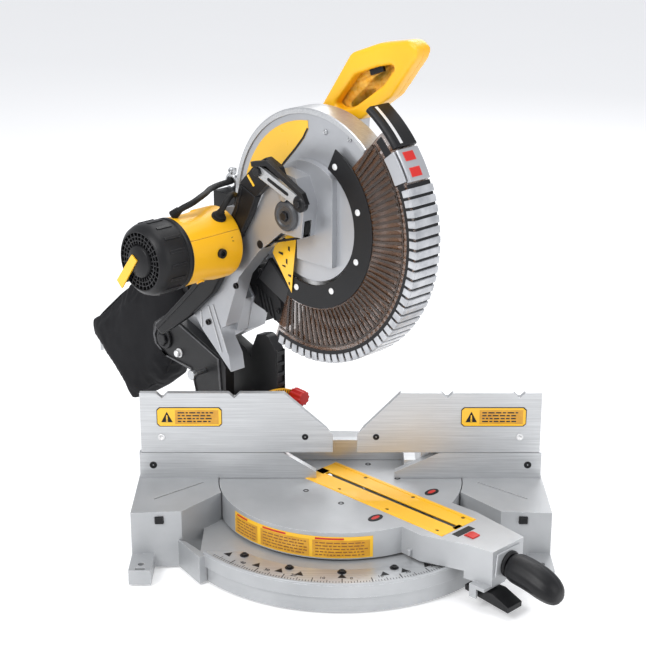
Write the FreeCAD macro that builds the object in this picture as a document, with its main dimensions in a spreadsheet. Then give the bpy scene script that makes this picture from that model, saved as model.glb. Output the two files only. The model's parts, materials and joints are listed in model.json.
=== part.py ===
# Compound miter saw, 305 mm blade, millimetres, +Z up.
# Origin: on the ground under the turntable pivot. X runs along the fence, Y to the back,
# and the fence face is the plane y = 0. The saw stands mitred 45 degrees to the right.
# Pieces of the swinging side are drawn square to the fence and turned by the miter angle
# in their Placement: forward is -Y, the motor side is -X.
import FreeCAD, Part
import math
import os
import re
import Sketcher

doc = FreeCAD.newDocument("miter_saw")
sheet = doc.addObject("Spreadsheet::Sheet", "dims")

DIMENSIONS = {
    "miter_angle": 45,
    "table_top": 90,
    "table_radius": 180,
    "table_floor": 49,
    "base_reach": 300,
    "arc_radius": 250,
    "arc_top": 45,
    "arc_bottom": 27,
    "bolt_x": 284,
    "bolt_y": 148,
    "bolt_hole": 4.5,
    "lug_half": 16,
    "pad_y": 122,
    "pad_height": 3,
    "fence_end": 295,
    "fence_low_top": 131,
    "fence_top": 226,
    "fence_thick": 12,
    "plate_thick": 10,
    "arm_end": 312,
    "kerf_front": 232,
    "kerf_back": 45,
    "kerf_half": 37,
    "kerf_thick": 4,
    "hub_y": 33,
    "hub_z": 487,
    "blade_radius": 152.4,
    "blade_thick": 2.6,
    "stub_radius": 7.95,
    "spindle_radius": 12,
    "flange_radius": 22,
    "upper_radius": 159,
    "lower_radius": 203,
    "ring_inner": 92,
    "ring_outer": 126,
    "pivot_y": 356,
    "pivot_z": 230,
    "pin_radius": 9,
    "motor_y": 170,
    "motor_z": 440,
    "motor_radius": 50,
    "motor_start": 80,
    "motor_end": 226,
    "cap_length": 54,
    "shaft_radius": 6,
    "tilt_z": 90,
    "tilt_pin": 11,
    "table_pin": 8,
    "lock_x": 9,
    "lock_z": 62,
    "fence_lock_x": 200,
    "fence_lock_z": 118,
    "fence_screw": 3.4,
    "gap": 0.3,
    "run_fit": 0.05,
}

for row, (alias, value) in enumerate(DIMENSIONS.items(), start=1):
    sheet.set(f"A{row}", alias)
    sheet.set(f"B{row}", str(value))
    sheet.setAlias(f"B{row}", alias)
doc.recompute()

pieces = []
counter = 0
ALIAS = re.compile(r"[a-z_]+[a-z]")


def bound(text):
    """A formula over the sheet's aliases, as FreeCAD writes it."""
    return ALIAS.sub(lambda m: "dims." + m.group(0) if m.group(0) in DIMENSIONS else m.group(0), text)


def size_of(value):
    """The present number behind a formula, for choices made while drawing."""
    if not isinstance(value, str):
        return float(value)
    found = sheet.evalExpression(bound(value))
    return float(getattr(found, "Value", found))


def bind(obj, prop, value):
    """Set a property from a number, or tie it to the sheet with a formula."""
    if isinstance(value, str):
        obj.setExpression(prop, bound(value))
    else:
        obj.setExpression(prop, repr(float(value)))


def unique(kind):
    global counter
    counter += 1
    return f"{kind}_{counter}"


def origin_plane(body, role):
    return next(item for item in body.Origin.OriginFeatures if item.Role == role)


PLANES = {"x": "YZ_Plane", "y": "XZ_Plane", "z": "XY_Plane"}


def new_sketch(body, normal, offset=0, base=(0, 0)):
    """A sketch on an origin plane: normal x holds (y, z), normal y (x, z), normal z (x, y)."""
    sketch = body.newObject("Sketcher::SketchObject", unique("sketch"))
    sketch.AttachmentSupport = (origin_plane(body, PLANES[normal]), [""])
    sketch.MapMode = "FlatFace"
    sign = "-1 * " if normal == "y" else ""
    bind(sketch, "AttachmentOffset.Base.z", f"{sign}({offset})")
    bind(sketch, "AttachmentOffset.Base.x", base[0])
    bind(sketch, "AttachmentOffset.Base.y", base[1])
    return sketch


def outline(sketch, points):
    """A closed outline of straight sides, each corner tied to its two sizes."""
    start = sketch.GeometryCount
    here = [(size_of(across), size_of(up)) for across, up in points]
    for index, corner in enumerate(here):
        after = here[(index + 1) % len(here)]
        sketch.addGeometry(Part.LineSegment(FreeCAD.Vector(*corner, 0), FreeCAD.Vector(*after, 0)), False)
    for index in range(len(here)):
        after = start + (index + 1) % len(here)
        sketch.addConstraint(Sketcher.Constraint("Coincident", start + index, 2, after, 1))
    for index, (across, up) in enumerate(points):
        for kind, value in (("DistanceX", across), ("DistanceY", up)):
            number = size_of(value)
            made = sketch.addConstraint(Sketcher.Constraint(kind, -1, 1, start + index, 1, number))
            if isinstance(value, str):
                sketch.setExpression(f"Constraints[{made}]", bound(value))
    return sketch


def ring_outline(sketch, centre, radius):
    at = FreeCAD.Vector(size_of(centre[0]), size_of(centre[1]), 0)
    index = sketch.addGeometry(Part.Circle(at, FreeCAD.Vector(0, 0, 1), size_of(radius)), False)
    made = sketch.addConstraint(Sketcher.Constraint("Radius", index, size_of(radius)))
    if isinstance(radius, str):
        sketch.setExpression(f"Constraints[{made}]", bound(radius))
    for kind, value in (("DistanceX", centre[0]), ("DistanceY", centre[1])):
        made = sketch.addConstraint(Sketcher.Constraint(kind, -1, 1, index, 3, size_of(value)))
        if isinstance(value, str):
            sketch.setExpression(f"Constraints[{made}]", bound(value))


def prism(normal, points, start, end, rounds=()):
    """A body padded from a straight-sided outline; rounds gives corner numbers and radii."""
    body = doc.addObject("PartDesign::Body", unique("prism"))
    sketch = outline(new_sketch(body, normal, end if normal == "y" else start), points)
    pad = body.newObject("PartDesign::Pad", unique("pad"))
    pad.Profile = sketch
    bind(pad, "Length", f"({end}) - ({start})")
    sketch.Visibility = False
    doc.recompute()
    for number, radius in rounds:
        corner = [size_of(value) for value in points[number]]
        fillet_corner(body, normal, corner, radius)
    return body


def fillet_corner(body, normal, corner, radius):
    """Round the edge that runs along the normal through one corner of the outline."""
    axes = {"x": (1, 2), "y": (0, 2), "z": (0, 1)}[normal]
    base = body.Tip
    names = []
    for index, edge in enumerate(base.Shape.Edges, start=1):
        ends = [vertex.Point for vertex in edge.Vertexes]
        if len(ends) != 2:
            continue
        if all(abs(end[axes[k]] - corner[k]) < 0.01 for end in ends for k in (0, 1)):
            names.append(f"Edge{index}")
    fillet = body.newObject("PartDesign::Fillet", unique("fillet"))
    fillet.Base = (base, names)
    bind(fillet, "Radius", radius)
    doc.recompute()
    if "Invalid" in fillet.State:
        raise RuntimeError(f"no room to round {corner} by {radius}, edges {names}")


def turned(centre, profile):
    """A body revolved about an axis along y; the profile holds (along, radius)."""
    body = doc.addObject("PartDesign::Body", unique("turned"))
    sketch = new_sketch(body, "z", centre[1], (centre[0], 0))
    outline(sketch, [(radius, along) for along, radius in profile])
    feature = body.newObject("PartDesign::Revolution", unique("revolution"))
    feature.Profile = sketch
    feature.ReferenceAxis = (sketch, ["V_Axis"])
    feature.Angle = 360
    sketch.Visibility = False
    doc.recompute()
    return body


AXIS_TURN = {
    "x": (FreeCAD.Vector(0, 1, 0), 90),
    "y": (FreeCAD.Vector(1, 0, 0), -90),
    "z": (FreeCAD.Vector(0, 0, 1), 0),
}


def rod(axis, centre, radius, start, end):
    """A cylinder along x, y or z from start to end; centre holds its other two places."""
    made = doc.addObject("Part::Cylinder", unique("rod"))
    bind(made, "Radius", radius)
    bind(made, "Height", f"({end}) - ({start})")
    direction, angle = AXIS_TURN[axis]
    made.Placement = FreeCAD.Placement(FreeCAD.Vector(), FreeCAD.Rotation(direction, angle))
    places = {
        "x": (start, centre[0], centre[1]),
        "y": (centre[0], start, centre[1]),
        "z": (centre[0], centre[1], start),
    }[axis]
    for letter, value in zip("xyz", places):
        bind(made, f"Placement.Base.{letter}", value)
    return made


def block(low, high):
    """A box between two corners."""
    made = doc.addObject("Part::Box", unique("block"))
    for letter, name, lo, hi in zip("xyz", ("Length", "Width", "Height"), low, high):
        bind(made, name, f"({hi}) - ({lo})")
        bind(made, f"Placement.Base.{letter}", lo)
    return made


def joined(*shapes):
    made = doc.addObject("Part::MultiFuse", unique("joined"))
    made.Shapes = list(shapes)
    made.Refine = True
    return made


def group(*shapes):
    made = doc.addObject("Part::Compound", unique("group"))
    made.Links = list(shapes)
    return made


def without(base, *tools):
    made = doc.addObject("Part::Cut", unique("without"))
    made.Base = base
    made.Tool = tools[0] if len(tools) == 1 else joined(*tools)
    made.Refine = True
    return made


def common(*shapes):
    made = doc.addObject("Part::MultiCommon", unique("common"))
    made.Shapes = list(shapes)
    made.Refine = True
    return made


def tube(axis, centre, outer, inner, start, end):
    bore = rod(axis, centre, inner, f"({start}) - 1", f"({end}) + 1")
    return without(rod(axis, centre, outer, start, end), bore)


def publish(label, shape, swings=True):
    """Name a finished piece, and turn it with the miter arm if it swings."""
    if shape.TypeId == "PartDesign::Body" or not shape.Placement.isIdentity():
        shape = group(shape)
    shape.Label = label
    if swings:
        upright = FreeCAD.Vector(0, 0, 1)
        shape.Placement = FreeCAD.Placement(FreeCAD.Vector(), FreeCAD.Rotation(upright, size_of("miter_angle")))
        shape.setExpression("Placement.Rotation.Angle", "dims.miter_angle")
    pieces.append(shape)
    return shape


HUB = ("hub_y", "hub_z")
PIVOT = ("pivot_y", "pivot_z")
MOTOR = ("motor_y", "motor_z")
MIDDLE = (0, 0)
TILT = (0, "tilt_z")
MITER_LOCK = ("lock_x", "lock_z")
HEAD_LOCK = (262, 200)
BEVEL_STOP = (44, "table_top + 80")
SIDES = (-1, 1)


# ---------------------------------------------------------------- base

def wing(side):
    """One hollow side of the base, with its two bench lugs."""
    reach = f"{side} * base_reach"
    shell = prism("z", [(reach, -118), (side * 228, -112), (side * 150, -18), (side * 150, 40),
                        (side * 192, 52), (side * 255, 110), (reach, 110)], "pad_height", "table_top")
    hollow = prism("z", [(f"{side} * (base_reach - 7)", -111), (side * 231, -105), (side * 196, -62),
                         (side * 196, 47), (side * 257, 103), (f"{side} * (base_reach - 7)", 103)],
                   0, "table_top - 8")
    lugs = []
    for end in SIDES:
        span = sorted((end * 100, end * 168))
        lugs.append(block((f"{side} * bolt_x - lug_half", span[0], "pad_height"),
                          (f"{side} * bolt_x + lug_half", span[1], 25)))
    return joined(without(shell, hollow), *lugs)


def base_casting():
    """Two wings, the pan that carries the turntable and the arc in front of it."""
    pan = common(block((-199, -300, "arc_bottom"), (199, 60, "arc_top")),
                 rod("z", MIDDLE, "arc_radius", "arc_bottom", "arc_top"))
    skirt = common(block((-199, -300, "pad_height"), (199, -152, "arc_bottom + 1")),
                   tube("z", MIDDLE, "arc_radius - 4", "arc_radius - 12", 0, 60))
    gussets = []
    for side in SIDES:
        line = [(side * 222, -118), (side * 234, -112), (side * 200, -166), (side * 190, -158)]
        gussets.append(prism("z", line, "pad_height", "arc_top"))
    whole = joined(wing(-1), wing(1), pan, skirt, *gussets)
    holes = [rod("z", (f"{sx} * bolt_x", f"{sy} * bolt_y"), "bolt_hole", -1, 40) for sx in SIDES for sy in SIDES]
    cavity = rod("z", MIDDLE, "table_radius + 1.5", "arc_top", 120)
    bore = rod("z", MIDDLE, "table_pin + run_fit", 0, 60)
    cuts = []
    for side in SIDES:
        corners = [(side * 270, -72.5), (side * 271.4, -70.8), (side * 203.1, -12.8), (side * 201.7, -14.5)]
        cuts.append(prism("z", corners, "table_top - 12", "table_top + 5"))
        socket = sorted((side * 253, side * 266))
        cuts.append(block((socket[0], -125, 72), (socket[1], -105, 83)))
        slot = sorted((side * 277, side * 291))
        cuts.append(block((slot[0], -165, -1), (slot[1], -160, 30)))
    return without(whole, cavity, bore, *holes, *cuts)


publish("base_casting", base_casting(), False)
pads = [rod("z", (f"{sx} * bolt_x", f"{sy} * pad_y"), 11, 0, "pad_height") for sx in SIDES for sy in SIDES]
publish("foot_pads", group(*pads), False)


def on_arc(radius, degrees):
    """A place on the base's arc, counted from straight ahead."""
    turn = math.radians(degrees)
    return (radius * math.sin(turn), -radius * math.cos(turn))


SCALE_SCREWS = (-40, -20, 0, 20, 40)
scale_ring = tube("z", MIDDLE, "arc_radius - 6", "arc_radius - 46", "arc_top", "arc_top + 1.2")
publish("miter_scale", common(scale_ring, block((-190, -300, 0), (190, -150, 100))), False)
scale_screws = [rod("z", on_arc(212, turn), 3.5, "arc_top + 1.2", "arc_top + 3") for turn in SCALE_SCREWS]
publish("pivot_bolt", joined(rod("z", MIDDLE, "table_pin", 8, "table_floor + 20"), rod("z", MIDDLE, 15, 8, 20)), False)


# ---------------------------------------------------------------- fences

def fixed_fence():
    """The low fence: two halves and the bridge that joins them behind the blade."""
    halves = []
    for side, edge in ((-1, (85, 36)), (1, (147, 81))):
        face = prism("y", [(f"{side} * (fence_end + 3)", "table_top"), (side * edge[1], "table_top"),
                           (side * edge[1], "table_top + 10"), (side * edge[0], "fence_low_top"),
                           (f"{side} * (fence_end + 3)", "fence_low_top")], 0, "fence_thick")
        halves.append(face)
        span = sorted((side * 95, side * 112))
        halves.append(block((span[0], "fence_thick - 1", "table_top + gap"), (span[1], 78, "fence_low_top - 16")))
        foot = sorted((side * 188, side * 285))
        halves.append(block((foot[0], "fence_thick - 1", "table_top"), (foot[1], 45, "table_top + 9")))
        lock = (f"{side} * fence_lock_x", "fence_lock_z")
        ear = block((f"{lock[0]} - 12", 23, "table_top"), (f"{lock[0]} + 12", 30, 130))
        halves.append(without(ear, rod("y", lock, "fence_screw + run_fit", 20, 40)))
    bridge = block((-112, 66, "table_top + gap"), (112, 78, "fence_low_top - 8"))
    under = block((-184, -1, 80), (184, 100, "table_top + gap"))
    return without(joined(*halves, bridge), under)


publish("fixed_fence", fixed_fence(), False)
fence_bolts = []
for across in (-272, -236, 236, 272):
    washer = rod("z", (across, 34), 8, "table_top + 9", "table_top + 10.5")
    fence_bolts.append(joined(rod("z", (across, 34), 6, "table_top + 9", "table_top + 15"), washer))
publish("base_screws", group(*scale_screws, *fence_bolts), False)


def sliding_fence(side, inner, slope):
    """One tall fence that slides along the fixed one, with a tongue behind it."""
    notches = [(156, 8), (262, 8)]
    end = f"{side} * fence_end"
    top = "fence_top"
    corners = [(end, "fence_low_top + 0.4"), (side * inner, "fence_low_top + 0.4"), (side * inner, 161),
               (side * slope, top)]
    for place, half in notches:
        if place - half > slope:
            corners.append((side * (place - half), top))
            corners.append((side * place, f"{top} - {half}"))
            corners.append((side * (place + half), top))
    corners.append((end, top))
    plate = prism("y", corners, 0, "plate_thick")
    span = sorted((side * 120, side * 290))
    tongue = block((span[0], "fence_thick + 0.4", 104), (span[1], "fence_thick + 9", 150))
    neck = block((span[0], 5, "fence_low_top + 4"), (span[1], "fence_thick + 9", 150))
    sharp = [(side * inner, 0), (side * (inner + 14), 14), (side * (inner - 30), 14), (side * (inner - 30), 0)]
    return without(joined(plate, tongue, neck), prism("z", sharp, 100, 260))


publish("left_fence", sliding_fence(-1, 11, 83), False)
publish("right_fence", sliding_fence(1, 24, 87), False)
for side, name in ((-1, "left_fence_knob"), (1, "right_fence_knob")):
    across = f"{side} * fence_lock_x"
    where = (across, "fence_lock_z")
    grips = block((f"{across} - 16", 34, "fence_lock_z - 5"), (f"{across} + 16", 44, "fence_lock_z + 5"))
    screw = rod("y", where, "fence_screw", 21.4, 36)
    publish(name, joined(screw, rod("y", where, 10, 30.4, 40), grips), False)


# ---------------------------------------------------------------- turntable

def turntable():
    """The round table with its long front arm, hollow below, and the trunnion behind."""
    disc = rod("z", MIDDLE, "table_radius", "table_floor", "table_top - gap")
    inside = rod("z", MIDDLE, "table_radius - 7", "table_floor - 1", "table_top - 9")
    arm = prism("z", [(-50, -100), (-54, -208), (-30, -274), (-24, "-arm_end"), (42, "-arm_end"), (56, -216),
                      (50, -100)], "table_floor", "table_top - gap")
    end_block = prism("z", [(-31, -268), (-24, "-arm_end"), (42, "-arm_end"), (46, -268)], 37, "table_floor + 1")
    arm_inside = prism("z", [(-43, -90), (-46, -205), (-24, -262), (38, -262), (48, -214), (43, -90)],
                       "table_floor - 10", "table_top - 12")
    boss = rod("z", MIDDLE, 34, "table_floor", "table_top - 5")
    trunnion = prism("y", [(-40, "table_top - 12"), (-72, "table_top + 1"), (-66, "table_top + 38"),
                           (-38, "table_top + 70"), (0, "table_top + 80"), (38, "table_top + 70"),
                           (66, "table_top + 38"), (72, "table_top + 1"), (40, "table_top - 12")], 152, 168)
    rear = block((-40, 120, "table_floor"), (40, 168, "table_top"))
    lever_ears = [block((low, -296, 18), (low + 3.5, -284, 38)) for low in (-38, 4.5)]
    lever_bar = block((-38, -310, 33), (8, -284, 38))
    top = without(joined(disc, arm, end_block), inside, arm_inside)
    shell = joined(top, boss, trunnion, rear, lever_bar, *lever_ears)
    recess = block(("-kerf_half - gap", "-kerf_front - gap", "table_top - kerf_thick"),
                   ("kerf_half + gap", "kerf_back + gap", "table_top + 5"))
    slot = block((-14, -228, 30), (14, 40, 100))
    bore = rod("z", MIDDLE, "table_pin + run_fit", 0, "table_floor + 21")
    tilt_bore = rod("y", TILT, "tilt_pin", 100, 200)
    lock_bore = rod("y", MITER_LOCK, 5.2, -340, -255)
    head_bore = rod("y", TILT, 18.5, 100, 152)
    blade_room = rod("x", (-55, 233), "blade_radius + 6", -12, 12)
    swing_room = block((-75, 168.3, 20), (75, 200, 200))
    return without(shell, recess, slot, bore, tilt_bore, lock_bore, head_bore, blade_room, swing_room)


publish("turntable", turntable())


SCREW_PLACES = [(x, y) for x in (-28, 28) for y in (-215, -120, -25)]


def kerf_plate():
    plate = block(("-kerf_half", "-kerf_front", "table_top - kerf_thick"), ("kerf_half", "kerf_back", "table_top"))
    slot = block((-7.5, -225, 80), (7.5, 29, 100))
    return without(plate, slot, *[rod("z", place, 3.2, 80, 100) for place in SCREW_PLACES])


publish("kerf_plate", kerf_plate())
kerf_screws = [rod("z", place, 3, "table_top - kerf_thick", "table_top - 0.6") for place in SCREW_PLACES]
publish("kerf_screws", group(*kerf_screws))


# ---------------------------------------------------------------- miter lock

def miter_knob():
    stem = rod("y", MITER_LOCK, 5, -340, -268)
    collar = rod("y", MITER_LOCK, 15, -334, "-arm_end - 0.5")
    grip = turned(MITER_LOCK, [(-398, 0), (-398, 12), (-388, 20), (-360, 22), (-330, 15), (-330, 0)])
    return joined(stem, collar, grip)


publish("miter_knob", miter_knob())
detent = joined(prism("x", [(-318, 31), (-346, 20), (-346, 12), (-270, 20), (-270, 28)], -30, 0),
                rod("x", (-290, 25), 4, -34, 4))
publish("detent_lever", detent)


# ---------------------------------------------------------------- bevel support

CLEVIS = (18.5, 36)


def support_post():
    """The tilting post: a foot on the tilt shaft, a hollow spine and two ears for the chop pin."""
    foot = prism("y", [(-34, 40), (-36, "table_top"), (-36, "table_top + 60"), (36, "table_top + 60"),
                       (36, "table_top"), (34, 40)], 169, 214)
    spine = prism("x", [(200, 40), (282, 60), (282, 140), (200, 140)], -36, 36)
    ear_line = [(213, 60), (282, 60), (282, 160), (292, 193), (356, "pivot_z - 30"), (386, "pivot_z - 12"),
                (386, "pivot_z + 18"), (358, "pivot_z + 38"), (322, "pivot_z + 38"), (224, 232), (213, 218)]
    rounds = ((4, 20), (5, 12), (6, 14), (7, 16), (9, 20))
    ears = [prism("x", ear_line, -CLEVIS[1], -CLEVIS[0], rounds), prism("x", ear_line, *CLEVIS, rounds)]
    pin_bore = rod("x", PIVOT, "pin_radius", -90, 90)
    tilt_bore = rod("y", TILT, "tilt_pin + run_fit", 100, 400)
    lock_bore = rod("x", HEAD_LOCK, 4.1, -80, -10)
    cheek = prism("x", [(214, 120), (214, 232), (200, 262), (178, 268), (158, 246), (158, 174), (169.5, 172),
                        (169.5, 120)], *CLEVIS, ((3, 14), (4, 12)))
    hollow = prism("x", [(176, 30), (274, 30), (274, 130), (176, 140)], -28, 28)
    return without(joined(foot, spine, cheek, *ears), hollow, pin_bore, tilt_bore, lock_bore)


publish("support_post", support_post())
pin_heads = [rod("x", PIVOT, 15, *sorted((side * 43, side * 36.1))) for side in SIDES]
publish("chop_pin", joined(rod("x", PIVOT, "pin_radius", -43, 43), *pin_heads))
publish("tilt_shaft", joined(rod("y", TILT, "tilt_pin", 150, 304), rod("y", TILT, 18, 140, 151.9)))
quadrant = without(rod("y", TILT, 98, 148, 151.8), block((-100, 100, -20), (100, 200, "table_top + 62")))
publish("bevel_scale", without(quadrant, rod("y", TILT, 19, 100, 200)))
lever_blade = block((-8, 306, "tilt_z - 60"), (8, 316, "tilt_z"))
lever_grip = rod("y", (0, "tilt_z - 60"), 11, 304, 326)
publish("bevel_lever", joined(rod("y", TILT, 19, 304.5, 318), lever_blade, lever_grip))
publish("bevel_stop_pin", joined(rod("y", BEVEL_STOP, 12, 122, 144), rod("y", BEVEL_STOP, 4, 144, 147.7)))
publish("head_lock_pin", joined(rod("x", HEAD_LOCK, 4, -57, -22), rod("x", HEAD_LOCK, 8, -65, -57)))


# ---------------------------------------------------------------- head

BELT_SPAN = (-62, -48)
BUTTON = (40, 530)


def arm_casting():
    """The cast arm from the chop pivot up to the spindle, on the motor side of the guard."""
    upper = prism("x", [(24, 556), (8, 520), (14, 472), (55, 472), (100, 436), (145, 386), (174, 310), (176, 303),
                        (187, 296), (185, 278), (170, 256), (166, 232), (204, 263), (228, 283), (249, 307),
                        (244, 340), (214, 392), (214, 460), (176, 486), (120, 500), (95, 545), (60, 562)],
                  -66, -38.5)
    rear = prism("x", [(180, 285), (300, 214), (356, 203), (378, 214), (383, 232), (372, 254), (330, 262), (262, 330),
                       (235, 390), (200, 390), (165, 340)], -18, 18)
    web = prism("x", [(180, 287), (211, 299), (232, 345), (233, 386), (202, 386), (168, 340)], -40, 10)
    neck = common(rod("x", HUB, "ring_inner - 4", -39, -30), block((-40, -20, 430), (-29, 50, 600)))
    bore = rod("x", PIVOT, "pin_radius + run_fit", -80, 80)
    lock_bore = rod("x", (263, 263), 4.6, -30, 30)
    button_bore = rod("x", BUTTON, 5.2, -80, -30)
    lighten = [rod("x", place, 6, -70, -64) for place in ((60, 492), (98, 446))]
    tunnel = prism("x", [("hub_y - 8", "hub_z - 22.6"), ("hub_y + 8", "hub_z + 22.6"),
                         ("motor_y + 8", "motor_z + 22.6"), ("motor_y - 8", "motor_z - 22.6")], *BELT_SPAN)
    chamber = joined(rod("x", HUB, 24, *BELT_SPAN), rod("x", MOTOR, 24, *BELT_SPAN), tunnel)
    shafts = [rod("x", HUB, "spindle_radius + 0.1", -60, 0), rod("x", MOTOR, 9.1, -80, -55)]
    return without(joined(upper, rear, web, neck), bore, lock_bore, button_bore, chamber, *lighten, *shafts)


publish("arm_casting", arm_casting())
housing = joined(rod("x", HUB, "ring_inner - 4", -30, -26), rod("x", HUB, 30, -26, -10))
publish("spindle_housing", without(housing, rod("x", HUB, "spindle_radius + 0.1", -40, 0)))


def on_hub(radius, degrees):
    """A place round the hub, 0 degrees forward and 90 up."""
    turn = math.radians(degrees)
    return (size_of("hub_y") - radius * math.cos(turn), size_of("hub_z") + radius * math.sin(turn))


def fan(first, last, reach):
    """A wedge round the hub from one angle to another, forward 0 and up 90."""
    steps = 8
    turns = [first + (last - first) * step / steps for step in range(steps + 1)]
    return [(size_of("hub_y"), size_of("hub_z"))] + [on_hub(reach, turn) for turn in turns]


def guard_walls(outer, near, far, skin, first, last, inner, rim):
    """Two side walls with a rim between them, round the hub from one angle to another."""
    drum = tube("x", HUB, outer, inner, near, far)
    hollow = rod("x", HUB, f"{outer} - {rim}", near + skin, far - skin)
    return common(without(drum, hollow), prism("x", fan(first, last, 400), near - 1, far + 1))


def ring_piece(outer, inner, near, far, first, last):
    """A length of a ring round the hub, between two angles."""
    return common(tube("x", HUB, outer, inner, near, far), prism("x", fan(first, last, 400), near - 1, far + 1))


UPPER = (48, 186)
LOWER = (-110, 47)
RIVETS = (58, 18, -22, -62, -102)
guard_web = ring_piece("ring_inner - 4", 30.3, -25.8, -22.8, 20, 230)
publish("upper_guard", joined(guard_walls("upper_radius", -25.8, 8, 3, *UPPER, 60, 5), guard_web))
publish("guard_shell", guard_walls("lower_radius", -34, 14, 3, *LOWER, "ring_inner + 1", 4))
publish("guard_ring", ring_piece("ring_outer", "ring_inner", -36, -34, -110, 64))
publish("guard_rivets", group(*[rod("x", on_hub(104, turn), 4, -37.2, -36) for turn in RIVETS]))
publish("guard_bumper", ring_piece(212, "lower_radius + 0.2", -32, 12, 39, 58))
publish("guard_bracket", ring_piece(209, "lower_radius + 0.2", -30, 10, 26, 38))
LINK_ENDS = ((78, 560), (-4, 529))
link_line = [(90, 572), (58, 578), (-14, 540), (-20, 520), (-2, 516), (52, 552), (92, 548)]
link_bosses = [rod("x", end, radius, -92, -79.5) for end, radius in zip(LINK_ENDS, (9, 8))]
publish("guard_link", joined(prism("x", link_line, -88, -79.5), *link_bosses))
bracket_line = [(126, 534), (92, 568), (71, 580), (46, 570), (40, 556), (64, 547), (92, 520)]
publish("link_bracket", prism("x", bracket_line, -79, -66))
cover_line = [(126, 534), (138, 497), (166, 445), (196, 402), (236, 356), (282, 312), (330, 268), (312, 258),
              (246, 304), (192, 352), (160, 400), (138, 440), (108, 486), (92, 520)]
publish("arm_cover", without(prism("x", cover_line, -79, -66), rod("x", MOTOR, 30, -90, -60)))


# ---------------------------------------------------------------- motor and drive

SEAT = "-motor_end + cap_length"


def motor_housing():
    shell = tube("x", MOTOR, "motor_radius", "motor_radius - 4", SEAT, "-motor_start")
    disc = rod("x", MOTOR, "motor_radius", "-motor_start - 4", "-motor_start")
    face = without(disc, rod("x", MOTOR, 20, -90, -70))
    spigot = tube("x", MOTOR, 29.6, 20, "-motor_start - 2", -66)
    return joined(shell, face, spigot)


publish("motor_housing", motor_housing())
cap_shell = without(rod("x", MOTOR, "motor_radius + 2", "-motor_end", SEAT),
                    rod("x", MOTOR, "motor_radius - 3", "-motor_end + 4", "-motor_end + 60"))
cap_boss = rod("x", MOTOR, 22, "-motor_end - 4", "-motor_end + 1")
publish("motor_cap", joined(cap_shell, cap_boss))
front_cap = rod("y", (-121, "motor_z"), 7, "motor_y - motor_radius - 5", "motor_y - motor_radius - 0.2")
rear_cap = rod("y", (-121, "motor_z"), 7, "motor_y + motor_radius + 0.2", "motor_y + motor_radius + 5")
publish("brush_caps", group(front_cap, rear_cap))
publish("field_coil", tube("x", MOTOR, "motor_radius - 4.4", 26, -160, -100))
publish("rear_bearing", tube("x", MOTOR, 13, "shaft_radius + run_fit", -218, -208))
core = rod("x", MOTOR, 25, -162, -98)
commutator = rod("x", MOTOR, 16, -200, -170)
fan_disc = rod("x", MOTOR, 40, -95, -88)
publish("armature", joined(rod("x", MOTOR, "shaft_radius", -218, -50), core, commutator, fan_disc))
publish("drive_pulley", without(rod("x", MOTOR, 14, -61, -49), rod("x", MOTOR, "shaft_radius", -70, -40)))
publish("driven_pulley", without(rod("x", HUB, 18, -61, -49), rod("x", HUB, "spindle_radius", -70, -40)))


def belt():
    """A flat loop round both pulleys, its two runs straight between them."""
    outer_run = prism("x", [("hub_y - 6.4", "hub_z - 20"), ("hub_y + 6.4", "hub_z + 20"),
                            ("motor_y + 5.2", "motor_z + 16.2"), ("motor_y - 5.2", "motor_z - 16.2")], -60, -50)
    inner_run = prism("x", [("hub_y - 5.2", "hub_z - 17.6"), ("hub_y + 5.2", "hub_z + 17.6"),
                            ("motor_y + 4.2", "motor_z + 13.7"), ("motor_y - 4.2", "motor_z - 13.7")], -62, -48)
    whole = joined(rod("x", HUB, 21, -60, -50), rod("x", MOTOR, 17, -60, -50), outer_run)
    inside = joined(rod("x", HUB, 18.3, -62, -48), rod("x", MOTOR, 14.3, -62, -48), inner_run)
    return without(whole, inside)


publish("drive_belt", belt())
stub = rod("x", HUB, "stub_radius", -2, 12)
inner_flange = rod("x", HUB, "flange_radius", -6, "-blade_thick / 2")
publish("spindle", joined(rod("x", HUB, "spindle_radius", -62, -6), inner_flange, stub))
disc = rod("x", HUB, "blade_radius", "-blade_thick / 2", "blade_thick / 2")
publish("blade", without(disc, rod("x", HUB, "stub_radius", -5, 5)))
flange = rod("x", HUB, "flange_radius", "blade_thick / 2", 5)
publish("outer_flange", without(flange, rod("x", HUB, "stub_radius", 0, 10)))
publish("blade_bolt", without(rod("x", HUB, 11, 5, 14), rod("x", HUB, "stub_radius", 0, 12.05)))
publish("spindle_lock", joined(rod("x", BUTTON, 8, -76, -70.2), rod("x", BUTTON, 5, -71, -46)))
CAP = (41, 500)
publish("hub_cap", without(rod("x", CAP, 22, -72, -66.2), rod("x", CAP, 8, -80, -70)))


# ---------------------------------------------------------------- handle

HANDLE_LEFT = 19
HANDLE_SEAM = 34
HANDLE_RIGHT = 49
GRIP_START = (-4, 692)
GRIP_ALONG = (-0.938, 0.347)


def on_grip(along, deep):
    """A place counted along the grip's underside from its rear end, and from there into the grip."""
    forward, rise = GRIP_ALONG
    return (GRIP_START[0] + along * forward + deep * rise, GRIP_START[1] + along * rise - deep * forward)


def grip_box(first, last, low, high, half):
    """A block square to the grip, centred on the seam between the handle's halves."""
    corners = [on_grip(first, low), on_grip(last, low), on_grip(last, high), on_grip(first, high)]
    return prism("x", corners, HANDLE_SEAM - half, HANDLE_SEAM + half)


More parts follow.
